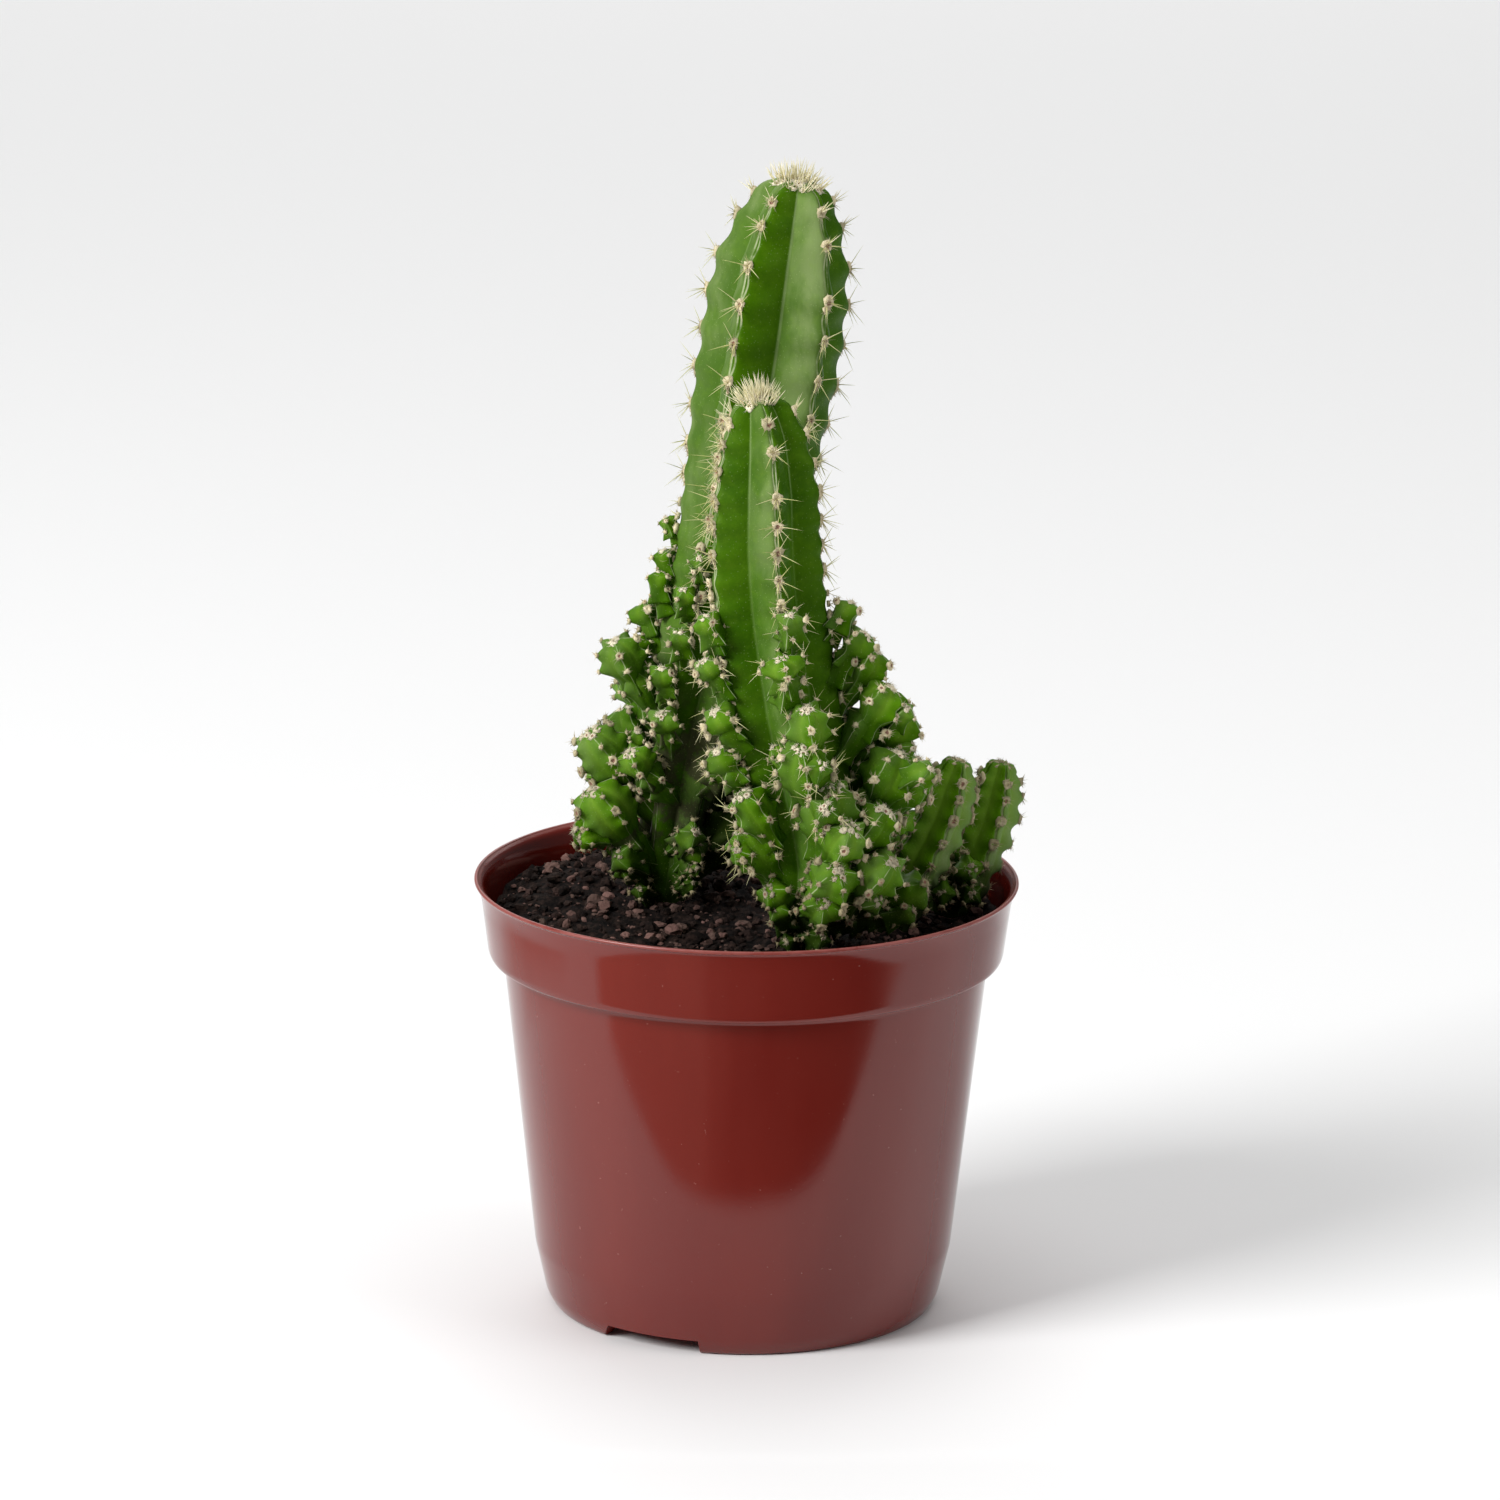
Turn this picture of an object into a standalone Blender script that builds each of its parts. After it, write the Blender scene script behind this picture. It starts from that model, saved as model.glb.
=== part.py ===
"""A potted triangle cactus: two ribbed stems crowded with small offsets, two side stems, soil and a plastic pot.

Metres, +Z up. The origin is the centre of the pot's foot, on the surface that the pot stands on.
A bearing is an angle in degrees round a stem: 0 is the front (-Y), 90 is the right (+X).
"""

import math
import random

import bmesh
import bpy
from mathutils import Vector, noise

# The pot, a thin-walled nursery pot with a collar under its lip
POT_HEIGHT = 0.0871
LIP_RADIUS = 0.0540
COLLAR_TOP_RADIUS = 0.0523
COLLAR_FOOT_RADIUS = 0.0512
COLLAR_FOOT_HEIGHT = 0.0722
SHOULDER_HEIGHT = 0.0702
BODY_TOP_RADIUS = 0.0481
BODY_FOOT_RADIUS = 0.0416
BODY_FOOT_HEIGHT = 0.0123
FOOT_RADIUS = 0.0380
HEEL_CURVE = ((0.0014, 0.0026), (0.0026, 0.0080))
SHOULDER_ROUND = 0.0009
LIP_ROLL = 0.0006
LIP_FLARE = 0.0040
WALL = 0.0012
FLOOR_UNDERSIDE = 0.0038
FOOT_RING_WIDTH = 0.0020
POT_SIDES = 40

# The foot's two drainage notches and the holes in the floor above them
NOTCH_BEARINGS = (-31.5, 148.5)
NOTCH_HALF_ANGLE = 17.2
NOTCH_SLANT = 1.5
NOTCH_HEIGHT = 0.0035
NOTCH_STEPS = 4
CUT_MARGIN = 0.0015
DRAIN_RADIUS = 0.0035
DRAIN_RING_RADIUS = 0.0250
DRAIN_COUNT = 5
DRAIN_SIDES = 12

# The soil
GAP = 0.0004
HOLE_SIDES = 14
SOIL_LEVEL = 0.0797
SOIL_ROUGHNESS = 0.0011
SOIL_LUMP_SCALES = (150, 330)
MOUND_HEIGHT = 0.0012
MOUND_CENTRE = (-0.022, 0.010)
MOUND_SPREAD = 0.022
SOIL_SIDES = 20
SOIL_RINGS = (0.0420, 0.0335, 0.0250, 0.0165, 0.0080)

# Stems: the ribbed section, and the round foot that stands in the soil
RIBS = 5
VALLEY_SHARE = 0.60
TOOTH = 0.0010
FOOT_TOP = 0.0822
FOOT_BLEND = 0.0140
FOOT_CLEAR = 0.0022
CROWN_AREOLE_SHARE = 0.45
CROWN_AREOLE_GROWTH = 0.20

# The tall stem at the back
TALL_PATH = [
    (-0.0166, 0.0060, 0.0690),
    (-0.0166, 0.0060, 0.0822),
    (-0.0157, 0.0060, 0.0887),
    (-0.0140, 0.0070, 0.1008),
    (-0.0120, 0.0080, 0.1129),
    (-0.0086, 0.0090, 0.1291),
    (-0.0049, 0.0090, 0.1413),
    (-0.0005, 0.0090, 0.1635),
    (0.0018, 0.0090, 0.1786),
    (0.0037, 0.0090, 0.1929),
    (0.0055, 0.0090, 0.2089),
    (0.0080, 0.0090, 0.2258),
]
TALL_GIRTH = [
    (0.0822, 0.0050),
    (0.0880, 0.0062),
    (0.1010, 0.0078),
    (0.1130, 0.0094),
    (0.1410, 0.0120),
    (0.1635, 0.0136),
    (0.1860, 0.0146),
    (0.2000, 0.0146),
    (0.2090, 0.0138),
    (0.2170, 0.0114),
    (0.2220, 0.0080),
    (0.2258, 0.0030),
]
TALL_FIRST_RIB = -104.0
TALL_AREOLE_STEP = 0.0078

# The shorter stem in front of it
FRONT_PATH = [
    (0.0116, -0.0250, 0.0690),
    (0.0116, -0.0250, 0.0822),
    (0.0120, -0.0250, 0.0935),
    (0.0113, -0.0240, 0.1034),
    (0.0088, -0.0230, 0.1172),
    (0.0063, -0.0230, 0.1292),
    (0.0038, -0.0220, 0.1450),
    (0.0026, -0.0220, 0.1589),
    (0.0024, -0.0220, 0.1708),
    (0.0020, -0.0220, 0.1813),
    (0.0010, -0.0220, 0.1890),
]
FRONT_GIRTH = [
    (0.0822, 0.0048),
    (0.0900, 0.0066),
    (0.1000, 0.0092),
    (0.1120, 0.0114),
    (0.1300, 0.0124),
    (0.1590, 0.0122),
    (0.1710, 0.0117),
    (0.1813, 0.0094),
    (0.1860, 0.0066),
    (0.1890, 0.0026),
]
FRONT_FIRST_RIB = -58.0
FRONT_AREOLE_STEP = 0.0065

# The two leaning side stems by the right wall of the pot
INNER_PATH = [
    (0.0290, -0.0080, 0.0690),
    (0.0292, -0.0080, 0.0810),
    (0.0313, -0.0080, 0.0845),
    (0.0342, -0.0080, 0.0911),
    (0.0385, -0.0082, 0.1024),
    (0.0414, -0.0084, 0.1136),
]
INNER_GIRTH = [
    (0.0822, 0.0046),
    (0.0860, 0.0060),
    (0.0930, 0.0068),
    (0.1050, 0.0068),
    (0.1100, 0.0058),
    (0.1136, 0.0026),
]
OUTER_PATH = [
    (0.0405, 0.0040, 0.0740),
    (0.0407, 0.0040, 0.0815),
    (0.0430, 0.0040, 0.0860),
    (0.0460, 0.0040, 0.0930),
    (0.0484, 0.0040, 0.1000),
    (0.0503, 0.0040, 0.1100),
]
OUTER_GIRTH = [
    (0.0822, 0.0046),
    (0.0860, 0.0060),
    (0.0930, 0.0066),
    (0.1020, 0.0066),
    (0.1065, 0.0056),
    (0.1100, 0.0026),
]
SIDE_FIRST_RIB = 20.0
SIDE_AREOLE_STEP = 0.0046

# Columns of offsets on the ribs: (rib, highest, lowest, count, radii, lengths, lift in degrees)
TALL_COLUMNS = [
    (0, 0.1525, 0.1120, 7, (0.0017, 0.0046), (0.0040, 0.0115), 58),
    (1, 0.1500, 0.1170, 5, (0.0020, 0.0034), (0.0045, 0.0072), 55),
    (2, 0.1420, 0.0920, 4, (0.0022, 0.0032), (0.0045, 0.0070), 62),
    (3, 0.1480, 0.0960, 6, (0.0022, 0.0054), (0.0050, 0.0150), 55),
    (4, 0.1420, 0.0970, 6, (0.0022, 0.0056), (0.0050, 0.0150), 58),
]
FRONT_COLUMNS = [
    (0, 0.1465, 0.1010, 6, (0.0028, 0.0046), (0.0060, 0.0100), 62),
    (1, 0.1455, 0.1090, 5, (0.0029, 0.0060), (0.0062, 0.0115), 64),
    (2, 0.1440, 0.1100, 6, (0.0030, 0.0056), (0.0065, 0.0190), 46),
    (3, 0.1400, 0.0990, 5, (0.0026, 0.0048), (0.0055, 0.0120), 58),
    (4, 0.1380, 0.1030, 4, (0.0022, 0.0030), (0.0048, 0.0060), 62),
]
COLUMN_ZIGZAG = 7.0
COLUMN_DRIFT = 3.0
HEIGHT_DRIFT = 0.0006
LIFT_DRIFT = 5.0

# Longer offsets that leave the foot of a stem: (root, tip, radius)
FRONT_SHOOTS = [
    ((0.0130, -0.0280, 0.0880), (0.0195, -0.0410, 0.1095), 0.0044),
    ((0.0150, -0.0260, 0.0960), (0.0350, -0.0190, 0.1155), 0.0060),
    ((0.0140, -0.0275, 0.0880), (0.0262, -0.0350, 0.1110), 0.0044),
    ((0.0140, -0.0270, 0.0870), (0.0300, -0.0370, 0.1010), 0.0050),
    ((0.0130, -0.0275, 0.0870), (0.0190, -0.0425, 0.1005), 0.0048),
    ((0.0130, -0.0270, 0.0865), (0.0150, -0.0425, 0.0935), 0.0040),
    ((0.0140, -0.0260, 0.0870), (0.0352, -0.0255, 0.0925), 0.0042),
    ((0.0110, -0.0260, 0.0870), (0.0038, -0.0320, 0.0935), 0.0036),
    ((0.0120, -0.0235, 0.0880), (0.0180, -0.0110, 0.0990), 0.0042),
]
TALL_SHOOTS = [
    ((-0.0190, 0.0030, 0.0885), (-0.0312, -0.0030, 0.1050), 0.0057),
    ((-0.0180, 0.0050, 0.0985), (-0.0318, 0.0010, 0.1160), 0.0052),
    ((-0.0160, 0.0060, 0.1150), (-0.0272, 0.0020, 0.1345), 0.0045),
    ((-0.0150, 0.0030, 0.1020), (-0.0235, -0.0050, 0.1130), 0.0038),
    ((-0.0165, 0.0050, 0.0885), (-0.0262, -0.0050, 0.0915), 0.0031),
    ((-0.0160, 0.0080, 0.0885), (-0.0200, 0.0230, 0.1010), 0.0045),
    ((-0.0150, 0.0070, 0.0885), (-0.0040, 0.0150, 0.0975), 0.0040),
]
OUTER_SHOOTS = [
    ((0.0415, 0.0030, 0.0865), (0.0440, -0.0075, 0.0915), 0.0030),
    ((0.0410, 0.0050, 0.0865), (0.0380, 0.0170, 0.0940), 0.0036),
]
INNER_SHOOTS = [
    ((0.0310, -0.0070, 0.0865), (0.0250, 0.0020, 0.0950), 0.0038),
]

# Offsets: each ring is (share of the length, share of the radius, how far its ribs stand out)
WIDE_OFFSET = 0.0042
WIDE_RINGS = [
    (0.20, 0.96, 0.16),
    (0.42, 0.90, 0.00),
    (0.64, 0.94, 0.20),
    (0.93, 0.50, 0.26),
]
SMALL_RINGS = [(0.38, 1.00, 0.16), (0.86, 0.62, 0.26)]
OFFSET_APEX = 0.93
OFFSET_VALLEY = 0.74
OFFSET_FOOT = 0.6
OFFSET_SINK = 0.0010
OFFSET_SINK_SHARE = 0.7

# A wide offset carries a smaller one on its outer side
CHILD_FROM = 0.0046
CHILD_SCALE = 0.55
CHILD_LEAST = 0.0026
CHILD_STOUTNESS = 2.1
CHILD_ALONG = 0.52
CHILD_ASIDE = 0.56
CHILD_LIFT = 1.1

# Spines, in burrs of four with one foot
SPINES_PER_AREOLE = 4
SPINE_LENGTH = (0.0046, 0.0062)
SPINE_SPREAD = (42, 66)
YOUNG_SPINE_SHARE = 0.6
YOUNG_SPINE_REACH = 0.040
BURR_RADIUS = 0.00046
BURR_SINK = 0.0011
BURR_HEIGHT = 0.00035
CROWN_BURRS = 4
CROWN_RADIUS = 0.0021
CROWN_DROP = 0.0006
CROWN_LEAN = 0.35
CROWN_SPREAD = (0.25, 0.55)
CROWN_SPINE_LENGTH = (0.0036, 0.0050)

SEED = 26


def clear_scene():
    for thing in list(bpy.data.objects):
        bpy.data.objects.remove(thing)


def material(name, colour, roughness):
    made = bpy.data.materials.new(name)
    made.use_nodes = True
    shader = made.node_tree.nodes["Principled BSDF"]
    shader.inputs["Base Color"].default_value = (*colour, 1.0)
    shader.inputs["Roughness"].default_value = roughness
    shader.inputs["Metallic"].default_value = 0.0
    return made


def add_object(name, bm, finish=None, collection=None):
    """Turns a bmesh into an object with its faces pointing out."""
    bmesh.ops.recalc_face_normals(bm, faces=bm.faces)
    mesh = bpy.data.meshes.new(name)
    bm.to_mesh(mesh)
    bm.free()
    if finish:
        mesh.materials.append(finish)
    made = bpy.data.objects.new(name, mesh)
    (collection or bpy.context.scene.collection).objects.link(made)
    return made


def towards(bearing, across, behind):
    """The direction of a bearing, from a section's right-hand and backward directions."""
    angle = math.radians(bearing)
    return across * math.sin(angle) - behind * math.cos(angle)


def flat(bearing):
    return towards(bearing, Vector((1, 0, 0)), Vector((0, 1, 0)))


def between(pairs, at):
    """Reads a list of (place, value) pairs at a place, in straight runs."""
    if at <= pairs[0][0]:
        return pairs[0][1]
    for (low, first), (high, last) in zip(pairs, pairs[1:]):
        if at <= high:
            return first + (last - first) * (at - low) / (high - low)
    return pairs[-1][1]


class Centreline:
    """A smooth rising curve through a stem's hand-picked points, read by its height."""

    STEPS = 16

    def __init__(self, points):
        knots = [Vector(p) for p in points]
        knots = [2 * knots[0] - knots[1], *knots, 2 * knots[-1] - knots[-2]]
        self.samples = []
        for a, b, c, d in zip(knots, knots[1:], knots[2:], knots[3:]):
            for step in range(self.STEPS):
                t = step / self.STEPS
                bend = (2 * a - 5 * b + 4 * c - d) * t * t + (3 * b - a - 3 * c + d) * t**3
                self.samples.append(b + 0.5 * ((c - a) * t + bend))
        self.samples.append(knots[-2])

    def frame(self, height):
        """(centre, right, back, up) of the section whose centre is at this height."""
        last = len(self.samples) - 2
        index = next((i for i in range(last) if self.samples[i + 1].z > height), last)
        low, high = self.samples[index], self.samples[index + 1]
        up = (high - low).normalized()
        centre = low + (high - low) * ((height - low.z) / (high.z - low.z))
        right = (Vector((1, 0, 0)) - up * up.x).normalized()
        return centre, right, up.cross(right), up


class Stem:
    """A ribbed stem: its centreline, its ridge radius by height and the bearing of its first rib."""

    def __init__(self, path, girth, first_rib, step):
        self.line = Centreline(path)
        self.girth = girth
        self.first_rib = first_rib
        self.step = step
        self.foot = path[0][2]
        self.tip = path[-1][2]

    def rib_bearing(self, rib):
        return self.first_rib + rib * 360 / RIBS

    def areole_heights(self):
        """Heights of the areoles from the tip down, closer together in the crown."""
        share = CROWN_AREOLE_SHARE
        heights = [self.tip - 0.5 * share * self.step]
        while heights[-1] - self.step * share > FOOT_TOP + FOOT_CLEAR:
            heights.append(heights[-1] - self.step * share)
            share = min(1.0, share + CROWN_AREOLE_GROWTH)
        return heights

    def ridge(self, bearing, height):
        """The point on a ridge, and the directions out of and up the stem there."""
        centre, right, back, up = self.line.frame(height)
        out = towards(bearing, right, back)
        return centre + out * between(self.girth, height), out, up

    def ring(self, height, tooth):
        """One ring of the skin: the ridge and the valley of each rib in turn."""
        centre, right, back, _ = self.line.frame(height)
        ridge = between(self.girth, height) - tooth
        ribbed = min(1.0, max(0.0, (height - FOOT_TOP) / FOOT_BLEND))
        valley = ridge * (1 - (1 - VALLEY_SHARE) * ribbed)
        points = []
        for rib in range(RIBS):
            for step, radius in ((0, ridge), (0.5, valley)):
                spoke = towards(self.rib_bearing(rib + step), right, back)
                points.append(centre + spoke * radius)
        return points

    def rings(self):
        """All rings from the foot in the soil to the tip, two to each areole."""
        heights = self.areole_heights()[::-1]
        rings = [self.ring(self.foot, 0), self.ring(FOOT_TOP, 0)]
        for low, high in zip(heights, heights[1:]):
            rings.append(self.ring(low, 0))
            sag = TOOTH * min(1.0, (high - low) / self.step)
            rings.append(self.ring(0.5 * (low + high), sag))
        rings.append(self.ring(heights[-1], 0))
        return rings


def skin_over(rings, apex):
    """A closed skin over rings of equally many points, with a flat foot and a pointed top."""
    bm = bmesh.new()
    loops = [[bm.verts.new(p) for p in ring] for ring in rings]
    count = len(loops[0])
    for low, high in zip(loops, loops[1:]):
        for k in range(count):
            after = (k + 1) % count
            bm.faces.new((low[k], low[after], high[after], high[k]))
    bm.faces.new(loops[0])
    top = bm.verts.new(apex)
    for k in range(count):
        bm.faces.new((loops[-1][k], loops[-1][(k + 1) % count], top))
    return bm


def offset_rings(root, axis, radius, length, turn):
    """Rings of a short ribbed offset whose foot is sunk below its root."""
    wide = radius >= WIDE_OFFSET
    ribs = 5 if wide else 4
    side = axis.orthogonal().normalized()
    other = axis.cross(side)
    sink = OFFSET_SINK + OFFSET_SINK_SHARE * radius
    rows = [(-sink / length, OFFSET_FOOT, 0.0), *(WIDE_RINGS if wide else SMALL_RINGS)]
    rings = []
    for along, share, tooth in rows:
        points = []
        for k in range(2 * ribs):
            angle = turn + math.pi * k / ribs
            reach = share + tooth if k % 2 == 0 else share * (OFFSET_VALLEY if along > 0 else 1)
            spoke = side * math.cos(angle) + other * math.sin(angle)
            points.append(root + axis * (along * length) + spoke * (reach * radius))
        rings.append(points)
    return rings


def add_offset(repeats, root, axis, radius, length, draw):
    turn = draw.uniform(0, math.pi)
    rings = offset_rings(root, axis, radius, length, turn)
    apex = root + axis * (OFFSET_APEX * length)
    add_object("offset", skin_over(rings, apex), collection=repeats)


def add_offset_with_child(repeats, root, axis, radius, length, outward, draw):
    """An offset, and on a wide one a smaller offset that leaves its outer side."""
    add_offset(repeats, root, axis, radius, length, draw)
    if radius < CHILD_FROM:
        return
    sideways = axis.cross(outward) * draw.choice((-CHILD_ASIDE, CHILD_ASIDE))
    lean = (outward - axis * outward.dot(axis) + sideways).normalized()
    child_root = root + axis * (CHILD_ALONG * length) + lean * (CHILD_ASIDE * radius)
    child_axis = (lean + axis * CHILD_LIFT).normalized()
    child_radius = max(CHILD_LEAST, CHILD_SCALE * radius)
    child_length = CHILD_STOUTNESS * child_radius
    add_offset(repeats, child_root, child_axis, child_radius, child_length, draw)


def add_column(repeats, stem, column, draw):
    """Offsets down one rib, longer and wider towards the soil, set to either side in turn."""
    rib, highest, lowest, count, radii, lengths, lift = column
    for k in range(count):
        share = k / (count - 1)
        radius = radii[0] + (radii[1] - radii[0]) * share
        length = lengths[0] + (lengths[1] - lengths[0]) * share
        middle = highest + (lowest - highest) * share
        middle += draw.uniform(-HEIGHT_DRIFT, HEIGHT_DRIFT)
        rise = math.radians(lift + draw.uniform(-LIFT_DRIFT, LIFT_DRIFT))
        root_height = middle - 0.5 * length * math.sin(rise)
        zigzag = COLUMN_ZIGZAG * (-1) ** k * (0.3 + share)
        bearing = stem.rib_bearing(rib) + zigzag + draw.uniform(-COLUMN_DRIFT, COLUMN_DRIFT)
        root, out, up = stem.ridge(bearing, root_height)
        axis = (out * math.cos(rise) + up * math.sin(rise)).normalized()
        add_offset_with_child(repeats, root, axis, radius, length, out, draw)


def add_shoot(repeats, shoot, draw):
    root, tip, radius = Vector(shoot[0]), Vector(shoot[1]), shoot[2]
    axis = tip - root
    outward = Vector((axis.x, axis.y, 0)).normalized()
    add_offset_with_child(repeats, root, axis.normalized(), radius, axis.length, outward, draw)


def add_burr(repeats, root, axis, directions, lengths):
    """Spines that spread from one small woolly cushion, whose foot is sunk into the ridge."""
    count = len(directions)
    side = axis.orthogonal().normalized()
    other = axis.cross(side)
    start = math.atan2(directions[0].dot(other), directions[0].dot(side)) - math.pi / count
    bm = bmesh.new()
    foot = []
    for k in range(count):
        angle = start + 2 * math.pi * k / count
        spoke = side * math.cos(angle) + other * math.sin(angle)
        foot.append(bm.verts.new(root - axis * BURR_SINK + spoke * BURR_RADIUS))
    top = bm.verts.new(root + axis * BURR_HEIGHT)
    bm.faces.new(foot)
    for k in range(count):
        low, high = foot[k], foot[(k + 1) % count]
        point = bm.verts.new(root + directions[k] * lengths[k])
        for a, b in ((low, high), (high, top), (top, low)):
            bm.faces.new((a, b, point))
    add_object("burr", bm, collection=repeats)


def add_areole_spines(repeats, stem, rib, height, draw):
    root, out, up = stem.ridge(stem.rib_bearing(rib), height)
    side = out.orthogonal().normalized()
    other = out.cross(side)
    start = draw.uniform(0, 2 * math.pi)
    size = min(1.0, YOUNG_SPINE_SHARE + (stem.tip - height) / YOUNG_SPINE_REACH)
    directions, lengths = [], []
    for k in range(SPINES_PER_AREOLE):
        turn = start + 2 * math.pi * k / SPINES_PER_AREOLE
        spread = math.radians(draw.uniform(*SPINE_SPREAD))
        aside = side * math.cos(turn) + other * math.sin(turn)
        directions.append((out * math.cos(spread) + aside * math.sin(spread)).normalized())
        lengths.append(size * draw.uniform(*SPINE_LENGTH))
    add_burr(repeats, root, out, directions, lengths)


def add_crown_spines(repeats, stem, draw):
    """A tuft of near-upright spines: burrs round the tip, leaning out a little."""
    centre, right, back, up = stem.line.frame(stem.tip)
    for k in range(CROWN_BURRS):
        lean = towards(360 * k / CROWN_BURRS, right, back)
        root = centre + lean * CROWN_RADIUS - up * CROWN_DROP
        axis = (up + lean * CROWN_LEAN).normalized()
        side = axis.orthogonal().normalized()
        other = axis.cross(side)
        directions, lengths = [], []
        for turn in range(SPINES_PER_AREOLE):
            angle = 2 * math.pi * (k / CROWN_BURRS + turn / SPINES_PER_AREOLE)
            aside = side * math.cos(angle) + other * math.sin(angle)
            directions.append((axis + aside * draw.uniform(*CROWN_SPREAD)).normalized())
            lengths.append(draw.uniform(*CROWN_SPINE_LENGTH))
        add_burr(repeats, root, axis, directions, lengths)


def fuse(body, repeats):
    """Joins the repeats to the body, then drops loose scraps and sealed hollows."""
    union = body.modifiers.new("union", "BOOLEAN")
    union.operation = "UNION"
    union.operand_type = "COLLECTION"
    union.collection = repeats
    union.solver = "MANIFOLD"
    bpy.context.view_layer.update()
    graph = bpy.context.evaluated_depsgraph_get()
    joined = bpy.data.meshes.new_from_object(body.evaluated_get(graph))
    body.modifiers.clear()
    body.data = joined
    for thing in list(repeats.objects):
        bpy.data.objects.remove(thing)
    bpy.data.collections.remove(repeats)
    keep_largest_shell(joined)


def keep_largest_shell(mesh):
    """Removes what isn't connected to the main skin across plain edges."""
    bm = bmesh.new()
    bm.from_mesh(mesh)
    bmesh.ops.triangulate(bm, faces=bm.faces)
    left = set(bm.faces)
    shells = []
    while left:
        shell = {left.pop()}
        front = list(shell)
        while front:
            face = front.pop()
            plain = [edge for edge in face.edges if len(edge.link_faces) == 2]
            near = {other for edge in plain for other in edge.link_faces} & left
            left -= near
            shell |= near
            front.extend(near)
        shells.append(shell)
    shells.sort(key=len)
    loose = [face for shell in shells[:-1] for face in shell]
    bmesh.ops.delete(bm, geom=loose, context="FACES")
    bm.to_mesh(mesh)
    bm.free()


def build_stem(name, stem, columns, shoots, finish, spines, draw):
    """A ribbed stem with its offsets and, on the two main stems, its spines."""
    tip = stem.line.frame(stem.tip)[0]
    body = add_object(name, skin_over(stem.rings(), tip), finish)
    repeats = bpy.data.collections.new(name + "_repeats")
    bpy.context.scene.collection.children.link(repeats)
    for column in columns:
        add_column(repeats, stem, column, draw)
    for shoot in shoots:
        add_shoot(repeats, shoot, draw)
    if spines:
        tops = {column[0]: column[1] for column in columns}
        for rib in range(RIBS):
            for height in stem.areole_heights()[1:]:
                if height > tops[rib] + 0.5 * stem.step:
                    add_areole_spines(repeats, stem, rib, height, draw)
        add_crown_spines(repeats, stem, draw)
    fuse(body, repeats)
    return body


def turned(name, profile, finish=None):
    """A solid of revolution from (radius, height) points that begin and end on the axis."""
    bm = bmesh.new()
    points = [bm.verts.new((radius, 0, height)) for radius, height in profile]
    edges = [bm.edges.new(pair) for pair in zip(points, points[1:])]
    bmesh.ops.spin(
        bm,
        geom=points + edges,
        cent=(0, 0, 0),
        axis=(0, 0, 1),
        angle=2 * math.pi,
        steps=POT_SIDES,
        use_merge=True,
    )
    bmesh.ops.remove_doubles(bm, verts=bm.verts, dist=0.00001)
    return add_object(name, bm, finish)


def cut(body, cutter):
    cutter.hide_render = True
    cutter.display_type = "WIRE"
    difference = body.modifiers.new(cutter.name, "BOOLEAN")
    difference.operation = "DIFFERENCE"
    difference.object = cutter


def notch_cutter(bearing):
    """A short sector of a ring, with sides that slant in towards its top."""
    bm = bmesh.new()
    inside = FOOT_RADIUS - FOOT_RING_WIDTH - CUT_MARGIN
    outside = BODY_FOOT_RADIUS + CUT_MARGIN
    top_half = NOTCH_HALF_ANGLE - NOTCH_SLANT
    rows = []
    for height, half in ((-CUT_MARGIN, NOTCH_HALF_ANGLE), (NOTCH_HEIGHT, top_half)):
        for radius in (inside, outside):
            row = []
            for step in range(NOTCH_STEPS + 1):
                direction = flat(bearing + half * (2 * step / NOTCH_STEPS - 1))
                row.append(bm.verts.new(direction * radius + Vector((0, 0, height))))
            rows.append(row)
    low_in, low_out, high_in, high_out = rows
    for a, b in ((low_in, low_out), (low_out, high_out), (high_out, high_in), (high_in, low_in)):
        for step in range(NOTCH_STEPS):
            bm.faces.new((a[step], a[step + 1], b[step + 1], b[step]))
    for end in (0, -1):
        bm.faces.new((low_in[end], low_out[end], high_out[end], high_in[end]))
    return add_object("notch_cutter", bm)


def round_cutter(name, centre, radius, low, high, sides):
    bm = bmesh.new()
    ring = []
    for step in range(sides):
        spoke = flat(360 * step / sides) * radius
        ring.append(bm.verts.new((centre.x + spoke.x, centre.y + spoke.y, low)))
    floor = bm.faces.new(ring)
    grown = bmesh.ops.extrude_face_region(bm, geom=[floor])["geom"]
    raised = [item for item in grown if isinstance(item, bmesh.types.BMVert)]
    bmesh.ops.translate(bm, verts=raised, vec=(0, 0, high - low))
    return add_object(name, bm)


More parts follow.
